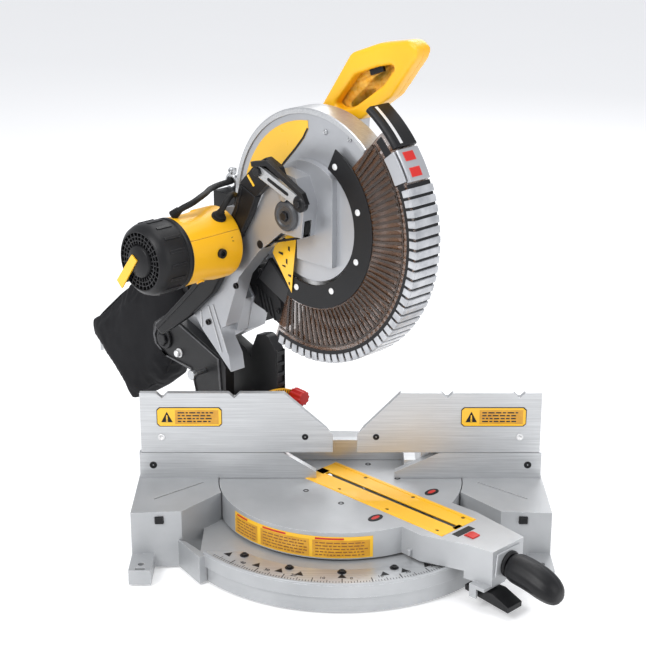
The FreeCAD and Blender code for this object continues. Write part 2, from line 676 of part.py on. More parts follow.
def handle_half(low, high):
    """One moulded half of the upright D handle, with room for the switch and its mouth."""
    loop = prism("x", [(68, 630), (3, 722), (-49, 741), (-103, 751), (-119, 742), (-117, 728), (-72, 670), (-14, 630)],
                 low, high, ((1, 14), (4, 7), (6, 16)))
    opening = prism("x", [(36, 645), GRIP_START, (-50, 709), (-84, 717), (-57, 684.5), (-3, 647), (20, 641)],
                    low - 1, high + 1, ((1, 8), (3, 4), (4, 8)))
    return without(loop, opening, grip_box(10, 58, 14, 24, 8), grip_box(20, 48, -3, 14.5, 5.5))


def handle_bracket():
    """The cast neck that carries the handle, on the far side of the blade from the motor."""
    neck = prism("x", [(90, 545), (0, 550), (-8, 600), (-10, 629.8), (78, 629.8), (96, 600)], 20, 46)
    return joined(neck, ring_piece("ring_inner - 4", 62, 8, 32, 50, 184))


publish("handle_bracket", handle_bracket())
publish("handle_left", handle_half(HANDLE_LEFT, HANDLE_SEAM))
publish("handle_right", handle_half(HANDLE_SEAM, HANDLE_RIGHT))
publish("trigger", grip_box(21, 47, -7, 9, 5))
publish("trigger_switch", grip_box(13, 55, 15.5, 22, 7))


# ---------------------------------------------------------------- dust parts

def dust_chute():
    """A square duct from behind the blade, over and down to the round mouth of the bag."""
    outer = joined(block((-20, 193, 442), (8, 250, 490)), block((8, 215, 442), (76, 250, 482)),
                   block((41, 215, 272), (76, 250, 442)), rod("y", (58.5, 290), 17, 240, 394))
    inner = joined(block((-17, 180, 445), (5, 247, 487)), block((4, 218, 445), (73, 247, 479)),
                   block((44, 218, 275), (73, 247, 446)), rod("y", (58.5, 290), 14, 244, 396))
    return without(outer, inner)


publish("dust_chute", dust_chute())
bag_line = [(394.5, 306), (394.5, 190), (435, 112), (527, 50), (636, 150), (642, 176), (525, 276), (440, 306)]
publish("dust_bag", prism("x", bag_line, 20, 82))
flap_line = [(158, 393), (108, 343), (104, 305), (140, 322), (168, 329), (165, 340), (184.6, 368)]
publish("dust_deflector", prism("x", flap_line, -17, 9))
publish("warning_plate", prism("x", [(84, 470), (51, 469), (60, 402), (62.6, 375), (101.5, 427)], -38.4, -37.6))


# ---------------------------------------------------------------- cable held by the head

CABLE_RADIUS = 4.5
CLAMP = (244, 499)
CABLE_ROUTE = [(31, 96, 616), (28.5, 116, 621), (24, 147, 609), (22, 186, 572), (24, 216, 536), (32, 240, 508),
               (16, 244, 499), (-16, 241, 499), (-52, 222, 502), (-90, 184, 511), (-120, 164, 513), (-142, 156, 510),
               (-158, 164, 503), (-163, 173, 493.5)]
LEAD_ROUTE = [(-103, 139.6, 492.6), (-102, 130, 509), (-88, 133, 517), (-70, 148, 512), (-56, 157, 503),
              (-52, 158, 496)]


def smooth_tube(points, radius):
    """A tube along straight runs joined by arcs as large as each pair of runs allows."""
    spots = [FreeCAD.Vector(*point) for point in points]
    edges = []
    last = spots[0]
    for before, here, after in zip(spots, spots[1:], spots[2:]):
        back = before - here
        ahead = after - here
        half_turn = (math.pi - back.getAngle(ahead)) / 2
        trim = 0.45 * min(back.Length, ahead.Length)
        first = here + back.normalize() * trim
        second = here + ahead.normalize() * trim
        bend = trim / math.tan(half_turn)
        middle = here + (back + ahead).normalize() * (bend / math.cos(half_turn) - bend)
        edges.append(Part.LineSegment(last, first).toShape())
        edges.append(Part.Arc(first, middle, second).toShape())
        last = second
    edges.append(Part.LineSegment(last, spots[-1]).toShape())
    path = Part.Wire(edges)
    disc = Part.Wire(Part.makeCircle(radius, spots[0], spots[1] - spots[0]))
    return path.makePipeShell([disc], True, True)


def cable(points):
    made = doc.addObject("Part::Feature", unique("cable"))
    made.Shape = smooth_tube(points, CABLE_RADIUS)
    return made


publish("power_cable", group(cable(CABLE_ROUTE), cable(LEAD_ROUTE)))
publish("cable_clamp", tube("x", CLAMP, 12.5, 8.5, 9, 20))


# ---------------------------------------------------------------- check and write

def main():
    doc.recompute()
    for item in doc.Objects:
        if "Invalid" in item.State or "Error" in item.State:
            raise RuntimeError(f"{item.Name} ({item.Label}) failed: {item.State}")
    os.makedirs("parts", exist_ok=True)
    for piece in pieces:
        if piece.Shape.isNull() or not piece.Shape.isValid() or not piece.Shape.Solids:
            raise RuntimeError(f"{piece.Label} has no valid solid")
        piece.Shape.exportStep(f"parts/{piece.Label}.step")
    print(len(pieces), "pieces")


main()
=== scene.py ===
"""Looks of the compound miter saw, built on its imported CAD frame.

Pieces are drawn in millimetres in the CAD's own places. Those of the swinging side are drawn
square to the fence (forward is -Y, the motor side is -X) and turned by the miter angle.
"""

import json
import math
import random

import bmesh
import bpy
import numpy as np
from mathutils import Matrix, Vector, noise


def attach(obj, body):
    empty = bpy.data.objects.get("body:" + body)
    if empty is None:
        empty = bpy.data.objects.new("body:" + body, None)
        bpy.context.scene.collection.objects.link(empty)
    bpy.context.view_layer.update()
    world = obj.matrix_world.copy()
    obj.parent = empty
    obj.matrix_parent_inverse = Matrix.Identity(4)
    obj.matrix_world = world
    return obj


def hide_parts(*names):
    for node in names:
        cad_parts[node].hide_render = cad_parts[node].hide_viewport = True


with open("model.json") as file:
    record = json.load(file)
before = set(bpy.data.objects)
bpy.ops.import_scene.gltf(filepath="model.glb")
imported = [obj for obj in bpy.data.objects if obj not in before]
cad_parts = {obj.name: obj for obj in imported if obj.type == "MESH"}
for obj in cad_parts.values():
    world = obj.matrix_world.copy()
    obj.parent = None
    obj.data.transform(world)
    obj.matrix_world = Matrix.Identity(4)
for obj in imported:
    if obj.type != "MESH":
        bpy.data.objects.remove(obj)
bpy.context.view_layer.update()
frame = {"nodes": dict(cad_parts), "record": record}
random.seed(7)

MM = 0.001
SWING = Matrix.Rotation(math.radians(45), 4, "Z")
HUB = (33.0, 487.0)          # (y, z) of the blade's axis
MOTOR = (170.0, 440.0)       # (y, z) of the motor's axis
CHOP_PIN = (356, 230)        # (y, z) of the pin that the head swings on
HANDLE_SEAM = 34             # x of the plane where the handle's shells meet
SEAM_GAP = 0.25              # from that plane to each shell's face
BAG_MIDDLE = (51, 510, 180)
BAG_SHRINK = 0.955           # room left inside the CAD bag for the cloth to swell
PIPING_SHRINK = 0.935
SWELL_LIMIT = 11
CABLE_RADIUS = 4.5
PIPING_RADIUS = 1.6
SIDES = (-1, 1)
CAMERA_PLACE = (-0.026, -2.1871, 1.103)
CAMERA_TILT = 70.65
CAMERA_LENS = 89.72
LIGHTS_AIM = Vector((0, 0, 0.3))
LIGHTS = (("key", (-1.5, -1.7, 2.2), 1.2, 50), ("fill", (2.2, -1.4, 1.3), 1.6, 18),
          ("back", (0.6, 2.0, 1.9), 1.4, 22), ("top", (0.1, 0.1, 2.6), 1.2, 14))
COLLECTION = bpy.context.scene.collection
MATERIALS = {}


def placed(name, data):
    """A new object in the scene, made of some data."""
    thing = bpy.data.objects.new(name, data)
    COLLECTION.objects.link(thing)
    return thing


# ---------------------------------------------------------------- camera, light, floor

def camera_and_light():
    camera = placed("camera", bpy.data.cameras.new("camera"))
    camera.location = CAMERA_PLACE
    camera.rotation_euler = (math.radians(CAMERA_TILT), 0, 0)
    camera.data.sensor_width = 36
    camera.data.lens = CAMERA_LENS
    bpy.context.scene.camera = camera
    bpy.context.scene.view_settings.view_transform = "Standard"
    world = bpy.data.worlds.new("studio")
    world.use_nodes = True
    sky = world.node_tree.nodes["Background"]
    sky.inputs["Color"].default_value = (0.93, 0.95, 1.0, 1)
    sky.inputs["Strength"].default_value = 0.62
    bpy.context.scene.world = world
    for name, place, size, watts in LIGHTS:
        light = placed(name, bpy.data.lights.new(name, "AREA"))
        light.data.size = size
        light.data.energy = watts
        light.location = place
        light.rotation_euler = (LIGHTS_AIM - Vector(place)).to_track_quat("-Z", "Y").to_euler()


# ---------------------------------------------------------------- materials

class Nodes:
    """Short calls for building one material's node tree."""

    def __init__(self, name):
        self.material = bpy.data.materials.new(name)
        self.material.use_nodes = True
        self.tree = self.material.node_tree
        self.shader = self.tree.nodes["Principled BSDF"]
        self.place = self.add("ShaderNodeTexCoord").outputs["Object"]

    def add(self, kind, **settings):
        node = self.tree.nodes.new(kind)
        for key, value in settings.items():
            if key in node.inputs:
                node.inputs[key].default_value = value
            else:
                setattr(node, key, value)
        return node

    def link(self, source, target):
        self.tree.links.new(source, target)

    def noise(self, scale, detail=4, roughness=0.55, stretch=None, vector=None):
        node = self.add("ShaderNodeTexNoise")
        node.inputs["Scale"].default_value = scale
        node.inputs["Detail"].default_value = detail
        node.inputs["Roughness"].default_value = roughness
        vector = vector or self.place
        if stretch:
            mapping = self.add("ShaderNodeMapping")
            mapping.inputs["Scale"].default_value = stretch
            self.link(vector, mapping.inputs["Vector"])
            vector = mapping.outputs["Vector"]
        self.link(vector, node.inputs["Vector"])
        return node.outputs["Fac"]

    def ramp(self, source, stops):
        node = self.add("ShaderNodeValToRGB")
        while len(node.color_ramp.elements) < len(stops):
            node.color_ramp.elements.new(0.5)
        for element, (where, value) in zip(node.color_ramp.elements, stops):
            element.position = where
            element.color = (value, value, value, 1) if isinstance(value, float) else (*value, 1)
        self.link(source, node.inputs["Fac"])
        return node.outputs["Color"]

    def mix(self, factor, first, second, blend="MIX"):
        node = self.add("ShaderNodeMix", data_type="RGBA", blend_type=blend)
        for socket, value in ((node.inputs["Factor"], factor), (node.inputs[6], first),
                              (node.inputs[7], second)):
            if isinstance(value, bpy.types.NodeSocket):
                self.link(value, socket)
            elif isinstance(value, tuple):
                socket.default_value = (*value, 1)
            else:
                socket.default_value = value
        return node.outputs[2]

    def span(self, source, low, high):
        node = self.add("ShaderNodeMapRange")
        node.inputs["To Min"].default_value = low
        node.inputs["To Max"].default_value = high
        self.link(source, node.inputs["Value"])
        return node.outputs["Result"]

    def edges(self, radius, strength=1.0):
        """1 along the piece's edges and 0 on its faces, broken up by noise."""
        bevel = self.add("ShaderNodeBevel", samples=4)
        bevel.inputs["Radius"].default_value = radius
        normal = self.add("ShaderNodeNewGeometry").outputs["Normal"]
        dot = self.add("ShaderNodeVectorMath", operation="DOT_PRODUCT")
        self.link(bevel.outputs["Normal"], dot.inputs[0])
        self.link(normal, dot.inputs[1])
        mask = self.ramp(dot.outputs["Value"], [(0.86, 1.0), (0.985, 0.0)])
        broken = self.ramp(self.noise(160, 3), [(0.35, 0.0), (0.62, strength)])
        return self.mix(1.0, mask, broken, "MULTIPLY")

    def bump(self, source, strength, distance):
        node = self.add("ShaderNodeBump")
        node.inputs["Strength"].default_value = strength
        node.inputs["Distance"].default_value = distance
        self.link(source, node.inputs["Height"])
        self.link(node.outputs["Normal"], self.shader.inputs["Normal"])

    def set(self, **values):
        for name, value in values.items():
            socket = self.shader.inputs[name.replace("_", " ")]
            if isinstance(value, bpy.types.NodeSocket):
                self.link(value, socket)
            else:
                socket.default_value = (*value, 1) if isinstance(value, tuple) else value


def coated(name, dark, light, metallic, rough, grain, grain_depth, edge=None, patch=6.0, coat=0.0,
           specular=0.5):
    """Paint, moulded plastic or cast metal: patchy colour, fine grain, and lighter edges that stand partly for wear
    and partly for painted highlights.
    """
    nodes = Nodes(name)
    patches = nodes.ramp(nodes.noise(patch, 5), [(0.3, 0.0), (0.7, 1.0)])
    colour = nodes.mix(patches, dark, light)
    # Lighter colour along the edges: partly wear, partly a painted highlight where the edges catch the light.
    if edge:
        colour = nodes.mix(nodes.edges(0.0016, 0.8), colour, edge)
    smears = nodes.noise(34, 5, 0.6)
    nodes.set(Base_Color=colour, Metallic=metallic, Roughness=nodes.span(smears, rough - 0.08, rough + 0.1),
              Coat_Weight=coat, Specular_IOR_Level=specular)
    nodes.bump(nodes.noise(grain, 3, 0.6), 0.35, grain_depth)
    MATERIALS[name] = nodes.material


def milled(name, dark, light, rough, stretch, metallic=0.95):
    """Machined metal: fine parallel cutter marks and faint stains."""
    nodes = Nodes(name)
    lines = nodes.noise(60, 5, 0.7, stretch)
    stains = nodes.ramp(nodes.noise(9, 5), [(0.35, 0.0), (0.75, 0.55)])
    colour = nodes.mix(nodes.ramp(lines, [(0.3, 0.0), (0.7, 1.0)]), dark, light)
    colour = nodes.mix(stains, colour, tuple(0.72 * c for c in light))
    nodes.set(Base_Color=colour, Metallic=metallic, Roughness=nodes.span(lines, rough - 0.07, rough + 0.12))
    nodes.bump(lines, 0.25, 0.0003)
    MATERIALS[name] = nodes.material


def smoky(name, dark, light, alpha):
    """Tinted see-through plastic: soft haze, faint wipe marks and a glossy skin."""
    nodes = Nodes(name)
    haze = nodes.noise(11, 4, 0.5)
    wipes = nodes.noise(40, 4, 0.6, (1, 0.3, 1))
    colour = nodes.mix(nodes.ramp(haze, [(0.3, 0.0), (0.7, 1.0)]), dark, light)
    nodes.set(Base_Color=colour, Roughness=nodes.span(wipes, 0.10, 0.24), Alpha=alpha, Coat_Weight=0.3)
    nodes.bump(wipes, 0.05, 0.0002)
    MATERIALS[name] = nodes.material


# Colours are dark and light; then come metallic, roughness, grain size, grain depth and the colour of the lighter
# edges, partly wear and partly painted highlight.
coated("cast_aluminium", (0.36, 0.37, 0.38), (0.50, 0.51, 0.52), 0.35, 0.42, 700, 0.0006, (0.75, 0.76, 0.77))
milled("machined_aluminium", (0.46, 0.47, 0.48), (0.68, 0.69, 0.70), 0.36, (0.15, 8, 8), 0.7)
coated("guard_silver", (0.40, 0.41, 0.43), (0.50, 0.51, 0.53), 0.65, 0.38, 1400, 0.0002, (0.7, 0.71, 0.72))
coated("yellow_plastic", (0.86, 0.43, 0.006), (0.98, 0.53, 0.01), 0.0, 0.36, 900, 0.00025, (1.0, 0.66, 0.12),
       coat=0.15)
coated("black_plastic", (0.004, 0.004, 0.005), (0.009, 0.009, 0.010), 0.0, 0.40, 1100, 0.0004,
       (0.07, 0.07, 0.075), specular=0.3)
coated("black_iron", (0.005, 0.005, 0.006), (0.011, 0.011, 0.012), 0.0, 0.40, 500, 0.0007,
       (0.10, 0.10, 0.11), specular=0.35)
milled("steel", (0.42, 0.43, 0.44), (0.66, 0.67, 0.68), 0.3, (6, 6, 1))
milled("blade_steel", (0.5, 0.5, 0.5), (0.7, 0.7, 0.7), 0.28, (1, 1, 1))
coated("copper", (0.55, 0.2, 0.07), (0.8, 0.35, 0.14), 0.9, 0.35, 900, 0.0004)
coated("red_plastic", (0.45, 0.01, 0.008), (0.62, 0.018, 0.012), 0.0, 0.35, 1000, 0.0003, (0.8, 0.1, 0.07))
coated("rubber", (0.006, 0.006, 0.006), (0.014, 0.014, 0.014), 0.0, 0.6, 1500, 0.0004, specular=0.3)
coated("bag_fabric", (0.006, 0.006, 0.007), (0.014, 0.014, 0.016), 0.0, 0.85, 900, 0.0006, specular=0.25)
smoky("smoky_plastic", (0.075, 0.028, 0.010), (0.2, 0.085, 0.030), 0.46)
smoky("smoky_rib", (0.018, 0.010, 0.006), (0.04, 0.02, 0.010), 0.75)
coated("ink_brown", (0.2, 0.07, 0.01), (0.3, 0.12, 0.02), 0.0, 0.5, 1600, 0.0001)
# Lighter iron, with still lighter edges, painted as the highlights along the support's ear rims.
coated("rim_highlight_iron", (0.03, 0.03, 0.032), (0.09, 0.09, 0.095), 0.3, 0.35, 500, 0.0006, (0.3, 0.3, 0.31))
coated("grey_cap", (0.045, 0.046, 0.05), (0.08, 0.082, 0.086), 0.2, 0.35, 900, 0.0003, (0.2, 0.2, 0.21))
coated("grey_rubber", (0.02, 0.02, 0.022), (0.035, 0.035, 0.037), 0.0, 0.5, 900, 0.0005)
# Light grey standing for the light caught by the clear ribbed rim: a painted highlight.
coated("rim_painted_glint", (0.34, 0.35, 0.37), (0.55, 0.56, 0.58), 0.2, 0.22, 900, 0.0002, coat=0.4, patch=60)
coated("rivet_white", (0.7, 0.7, 0.7), (0.85, 0.85, 0.85), 0.3, 0.3, 900, 0.0002)
coated("label_yellow", (0.84, 0.46, 0.008), (0.95, 0.55, 0.02), 0.0, 0.3, 1600, 0.0001, coat=0.4)
coated("label_orange", (0.55, 0.25, 0.01), (0.75, 0.38, 0.015), 0.0, 0.35, 1600, 0.0001, patch=60, coat=0.3)

BEVELS = {"base_casting": 1.6, "turntable": 1.8, "arm_casting": 2.4, "support_post": 2.2,
          "handle_bracket": 2.5, "dust_chute": 1.6, "upper_guard": 1.2}
SMALL_BEVEL = 0.8


def round_edges(piece, width, degrees):
    """Round the edges that are sharper than an angle, and shade the faces between them evenly."""
    if width:
        bevel = piece.modifiers.new("bevel", "BEVEL")
        bevel.width = width * MM
        bevel.segments = 2
        bevel.limit_method = "ANGLE"
        bevel.angle_limit = math.radians(degrees)
    piece.modifiers.new("shade", "WEIGHTED_NORMAL").keep_sharp = False


def carry(piece, body, slot, material=None, replaces=()):
    """Give a piece its own material or else its slot's, hang it on the body that carries it, and hide the CAD nodes
    it stands for.
    """
    piece.data.materials.clear()
    piece.data.materials.append(MATERIALS[material or slot])
    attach(piece, body)
    if replaces:
        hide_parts(*replaces)
    return piece


def dress_nodes():
    """Give every CAD node its slot's material, and small bevels along its edges."""
    slots = {row["node"]: row["material_slot"] for row in frame["record"]["subparts"]}
    for name, node in frame["nodes"].items():
        node.data.materials.clear()
        node.data.materials.append(MATERIALS[slots[name]])
        weld = node.modifiers.new("weld", "WELD")
        weld.merge_threshold = 1e-5
        flat = node.modifiers.new("flat", "DECIMATE")
        flat.decimate_type = "DISSOLVE"
        flat.angle_limit = math.radians(0.6)
        round_edges(node, BEVELS.get(name, SMALL_BEVEL), 38)


def floor():
    mesh = bpy.data.meshes.new("floor")
    reach, level = 30, -0.0004
    mesh.from_pydata([(-reach, -reach, level), (reach, -reach, level), (reach, reach, level),
                      (-reach, reach, level)], [], [(0, 1, 2, 3)])
    nodes = Nodes("floor")
    nodes.set(Base_Color=nodes.mix(nodes.noise(3, 3), (0.88, 0.88, 0.88), (0.9, 0.9, 0.9)), Roughness=0.65,
              Emission_Color=(1.0, 1.0, 1.0), Emission_Strength=0.28)
    mesh.materials.append(nodes.material)
    plane = placed("floor", mesh)


# ---------------------------------------------------------------- building meshes, in mm

AXES = {"x": (1, 2, 0), "y": (0, 2, 1), "z": (0, 1, 2)}


def spot(axis, across, up, along):
    """A point given by its two places across an axis and its place along it."""
    place = [0.0, 0.0, 0.0]
    for index, value in zip(AXES[axis], (across, up, along)):
        place[index] = value
    return tuple(place)


def on_hub(radius, degrees):
    """A (y, z) place round the blade's hub, 0 degrees forward and 90 up."""
    turn = math.radians(degrees)
    return (HUB[0] - radius * math.cos(turn), HUB[1] + radius * math.sin(turn))


class Shape:
    """Points and faces gathered from simple solids."""

    def __init__(self):
        self.points, self.faces = [], []

    def loft(self, rings, closed=False):
        """A skin through rings of equal length, capped at both ends or closed round."""
        base, count = len(self.points), len(rings[0])
        self.points += [tuple(point) for ring in rings for point in ring]
        spans = len(rings) if closed else len(rings) - 1
        for span in range(spans):
            here, after = base + span * count, base + (span + 1) % len(rings) * count
            self.faces += [(here + i, here + (i + 1) % count, after + (i + 1) % count, after + i)
                           for i in range(count)]
        if not closed:
            self.faces.append(tuple(base + i for i in range(count)))
            self.faces.append(tuple(base + (len(rings) - 1) * count + i for i in range(count)))
        return self

    def prism(self, axis, outline, low, high):
        return self.loft([[spot(axis, a, b, along) for a, b in outline] for along in (low, high)])

    def box(self, low, high):
        return self.prism("z", [(low[0], low[1]), (high[0], low[1]), (high[0], high[1]), (low[0], high[1])],
                          low[2], high[2])

    def lathe(self, axis, centre, profile, steps=48, first=0, last=360):
        """A closed (along, radius) profile turned about an axis, all round or over a part of the circle."""
        whole = last - first >= 360
        count = steps if whole else steps + 1
        rings = []
        for step in range(count):
            turn = math.radians(first + (last - first) * step / steps)
            rings.append([spot(axis, centre[0] - r * math.cos(turn), centre[1] + r * math.sin(turn), along)
                          for along, r in profile])
        return self.loft(rings, closed=whole)

    def rod(self, axis, centre, radius, low, high, chamfer=0.6, steps=28):
        sign = 1 if high > low else -1
        return self.lathe(axis, centre, [(low, 0), (low, radius), (high - sign * chamfer, radius),
                                         (high, radius - chamfer), (high, 0)], steps)

    def socket_screw(self, axis, centre, radius, low, high):
        """A round head from low to high with a hexagon socket in its end."""
        sign = 1 if high > low else -1
        deep = high - sign * min(abs(high - low) * 0.7, radius * 0.6)
        return self.lathe(axis, centre, [(low, 0), (low, radius), (high - sign * 0.5, radius),
                                         (high, radius - 0.5), (high, radius * 0.55), (deep, radius * 0.5),
                                         (deep, 0)], 24)

    def hexagon(self, axis, centre, radius, low, high):
        """A hexagon bolt head from low to high, its end edges turned off."""
        sign = 1 if high > low else -1
        rings = []
        for along, r in ((low, radius), (high - sign * radius * 0.12, radius), (high, radius * 0.86)):
            rings.append([spot(axis, centre[0] + r * math.cos(math.radians(60 * k + 12)),
                               centre[1] + r * math.sin(math.radians(60 * k + 12)), along) for k in range(6)])
        return self.loft(rings)

    def fan(self, x_low, x_high, inner, outer, first, last, steps=12, sweep=0.0):
        """A curved bar round the hub; sweep leans its outer end round, in degrees."""
        rings = []
        for step in range(steps + 1):
            turn = first + (last - first) * step / steps
            rings.append([(x, *on_hub(r, turn + (sweep if r == outer else 0)))
                          for x, r in ((x_low, inner), (x_high, inner), (x_high, outer), (x_low, outer))])
        return self.loft(rings)


def make(name, shape, body, slot, material=None, swings=True, bevel=0.4, replaces=(), rough_angle=32,
         smooth=True):
    """Turn a Shape into a piece that rides on a body."""
    mesh = bpy.data.meshes.new(name)
    mesh.from_pydata([Vector(point) * MM for point in shape.points], [], shape.faces)
    bm = bmesh.new()
    bm.from_mesh(mesh)
    bmesh.ops.remove_doubles(bm, verts=bm.verts, dist=2e-6)
    bmesh.ops.dissolve_degenerate(bm, edges=bm.edges, dist=1e-6)
    bmesh.ops.recalc_face_normals(bm, faces=bm.faces)
    if swings:
        bmesh.ops.transform(bm, matrix=SWING, verts=bm.verts)
    for face in bm.faces:
        face.smooth = smooth
    bm.to_mesh(mesh)
    bm.free()
    piece = placed(name, mesh)
    round_edges(piece, bevel, rough_angle)
    return carry(piece, body, slot, material, replaces)


def upright_rod(shape, foot, direction, radius, height, steps=22):
    """A round boss standing on foot along any direction."""
    direction = Vector(direction).normalized()
    side = direction.orthogonal().normalized()
    other = direction.cross(side)
    rings = []
    for along, r in ((0, radius), (height - 0.4, radius), (height, radius - 0.4)):
        turns = [2 * math.pi * k / steps for k in range(steps)]
        rings.append([foot + direction * along + (side * math.cos(a) + other * math.sin(a)) * r for a in turns])
    return shape.loft(rings)


def stripe_between(shape, first, last, offset, low, high):
    """A bar along x whose section runs from first to last and is as wide as an offset."""
    corners = [first, last, (last[0] + offset[0], last[1] + offset[1]),
               (first[0] + offset[0], first[1] + offset[1])]
    return shape.prism("x", corners, low, high)


def round_ended(first, last, radius, steps):
    """The outline of a flat bar with round ends."""
    along = (last - first).normalized()
    side = Vector((-along.y, along.x))
    outline = []
    for centre, sign in ((first, -1), (last, 1)):
        for k in range(steps + 1):
            turn = math.pi * (k / steps - 0.5)
            outline.append(tuple(centre + (along * math.cos(turn) + side * math.sin(turn)) * sign * radius))
    return outline


def oval(centre, wide, tall, z):
    """A level ring of points."""
    turns = [math.pi * k / 16 for k in range(32)]
    return [(centre[0] + wide * math.cos(a), centre[1] + tall * math.sin(a), z) for a in turns]


def tube(name, route, radius, roundness, steps, closed=False):
    """A round cord through a route in mm: held at both ends, or closed on itself."""
    curve = bpy.data.curves.new(name, "CURVE")
    curve.dimensions = "3D"
    curve.bevel_depth = radius * MM
    curve.bevel_resolution = roundness
    curve.resolution_u = steps
    spline = curve.splines.new("NURBS")
    spline.points.add(len(route) - 1)
    for target, place in zip(spline.points, route):
        target.co = (*(SWING @ (Vector(place) * MM)), 1)
    spline.order_u = 3
    spline.use_cyclic_u = closed
    spline.use_endpoint_u = not closed
    return placed(name, curve)


# ---------------------------------------------------------------- blade and guards

def blade():
    teeth, outline, tips = 80, [], Shape()
    for tooth in range(teeth):
        turn = 360 * tooth / teeth
        slit = tooth % 20 == 0
        bottom = [(141, turn + 2.9), (141.5, turn + 3.6)]
        if slit:
            bottom = [(141, turn + 2.9), (118, turn + 3.1), (118, turn + 3.6), (141.5, turn + 3.5)]
        outline += [on_hub(r, a) for r, a in [(151.6, turn), (149.5, turn + 1.6), (144, turn + 2.4)] + bottom]
        tips.prism("x", [on_hub(r, a) for r, a in ((152.2, turn), (151.6, turn + 0.9), (146, turn + 0.75),
                                                   (145.5, turn))], -1.3, 1.3)
    make("blade_plate", Shape().prism("x", outline, -0.95, 0.95), "arbor", "blade_steel", bevel=0,
         replaces=("blade",))
    make("blade_tips", tips, "arbor", "steel", bevel=0)


def lower_guard():
    near, far, rim = -34, 14, 203
    profile = [(near, 93), (near, rim - 4), (near + 1.4, rim - 1.2), (near + 4, rim), (far - 4, rim),
               (far - 1.4, rim - 1.2), (far, rim - 4), (far, 93), (far - 3, 93), (far - 3, rim - 5),
               (far - 4.5, rim - 3.5), (near + 4.5, rim - 3.5), (near + 3, rim - 5), (near + 3, 93)]
    make("guard_clear_shell", Shape().lathe("x", HUB, profile, 60, -110, 47), "lower_guard", "smoky_plastic",
         bevel=0, replaces=("guard_shell",))
    ribs = Shape()
    for step in range(45):
        turn = -107.5 + step * 3.4
        ribs.fan(near - 2.2, near + 0.2, 128, 180, turn, turn + 1.5, 1, 3.0)
        ribs.fan(far - 0.2, far + 1.2, 100, 190, turn, turn + 1.0, 1, 3.0)
    ribs.fan(near - 1.3, near + 0.2, 180, 183, -109, 46, 48)
    make("guard_clear_ribs", ribs, "lower_guard", "smoky_plastic", "smoky_rib", bevel=0.3)
    # The black band shows between the rim bars as painted shadow in their gaps; the bars' light grey is a painted
    # highlight.
    band, bars = Shape(), Shape()
    band.fan(near + 1.5, far - 1.5, rim + 0.05, rim + 0.9, -109, 25, 50)
    band.fan(near - 0.8, near + 0.2, 188, 200, -109, 46, 56)
    for step in range(33):
        turn = -107.6 + step * 4.0
        bars.fan(near + 0.5, far - 0.5, rim - 1, rim + 3.4, turn, turn + 2.9, 2)
        bars.fan(near - 1.6, near + 1, 193, rim + 3.0, turn, turn + 2.9, 2)
    make("guard_rim_gap_shadow", band, "lower_guard", "black_plastic", bevel=0.2)
    make("guard_rim_bars", bars, "lower_guard", "guard_silver", "rim_painted_glint", bevel=0.9)
    screws = Shape()
    for turn in (58, 18, -22, -62, -102):
        screws.rod("x", on_hub(104, turn), 4.6, -36, -37.35, 0.8, 20)
    make("guard_ring_rivets", screws, "lower_guard", "steel", "rivet_white", bevel=0,
         replaces=("guard_rivets",))
    bumper = Shape().lathe("x", HUB, [(-32, 203.2), (-32, 208), (-28, 212), (8, 212), (12, 208),
                                      (12, 203.2)], 10, 39, 58)
    make("guard_front_bumper", bumper, "lower_guard", "black_plastic", bevel=1.2, replaces=("guard_bumper",))
    # A pale strip along the black bumper: a painted highlight.
    stripe = Shape().fan(-22, -17, 211.8, 212.5, 40, 57, 8)
    make("guard_bumper_highlight", stripe, "lower_guard", "guard_silver", "rivet_white", bevel=0)
    bracket = Shape().lathe("x", HUB, [(-31, 203.3), (-31, 207), (-29, 209.2), (9, 209.2), (11, 207),
                                       (11, 203.3)], 8, 25.5, 38.2)
    bracket.fan(-37, -34.2, 186, 207, 26, 38, 6)
    make("guard_front_bracket", bracket, "lower_guard", "steel", "guard_silver", bevel=0.8,
         replaces=("guard_bracket",))
    marks = Shape()
    for first in (27.0, 33.2):
        marks.fan(-24, -4, 209, 209.8, first, first + 3.6, 2)
    make("guard_bracket_marks", marks, "lower_guard", "red_plastic", bevel=0.3)


def upper_guard():
    rim = Shape().lathe("x", HUB, [(-28.2, 151.5), (-28.2, 158), (-27, 159.8), (8, 159.8), (8, 158.6),
                                   (-25.6, 158.6), (-25.6, 151.5)], 60, 48.5, 186)
    make("upper_guard_rim", rim, "head", "guard_silver", "machined_aluminium", bevel=0.5)
    outline = [on_hub(142, 182 - 89 * k / 16) for k in range(17)]
    outline += [(39.4, 616.9), (48.4, 602), (64.6, 583.5), (87.2, 560.4), (136.1, 504.4), (150, 484)]
    make("upper_guard_label", Shape().prism("x", outline, -26.5, -25.7), "head", "yellow_plastic",
         "label_yellow", bevel=0.2)
    line = Shape()
    for first, last in zip(outline[17:], outline[18:]):
        stripe_between(line, first, last, (2.2, 2.0), -26.8, -26.4)
    make("upper_guard_label_edge", line, "head", "black_plastic", bevel=0)
    screws = Shape()
    for radius, turn in ((148, 60), (134, 78), (120, 150), (66, 92), (74, 60), (70, 128)):
        screws.socket_screw("x", on_hub(radius, turn), 3.6, -25.7, -28.6)
    make("upper_guard_screws", screws, "head", "steel", bevel=0)
    boss = Shape().lathe("x", HUB, [(-34, 30), (-34, 52), (-31, 55), (-25.7, 56), (-25.7, 30)], 40, 30, 150)
    make("gear_case_boss", boss, "head", "guard_silver", bevel=0.8)


# ---------------------------------------------------------------- motor

def round_motor(degrees):
    """Directions across and along a radius of the motor, 0 degrees forward and 90 up."""
    turn = math.radians(degrees)
    return Vector((0, math.sin(turn), math.cos(turn))), Vector((0, -math.cos(turn), math.sin(turn)))


def radial_bar(shape, degrees, inner, outer, half_width, low, high):
    """A bar along the motor's axis, standing between two radii."""
    side, out = round_motor(degrees)
    side, hub = side * half_width, Vector((0, *MOTOR))
    ring = [hub + out * inner - side, hub + out * inner + side, hub + out * outer + side,
            hub + out * outer - side]
    shape.loft([[(x, p.y, p.z) for p in ring] for x in (low, high)])


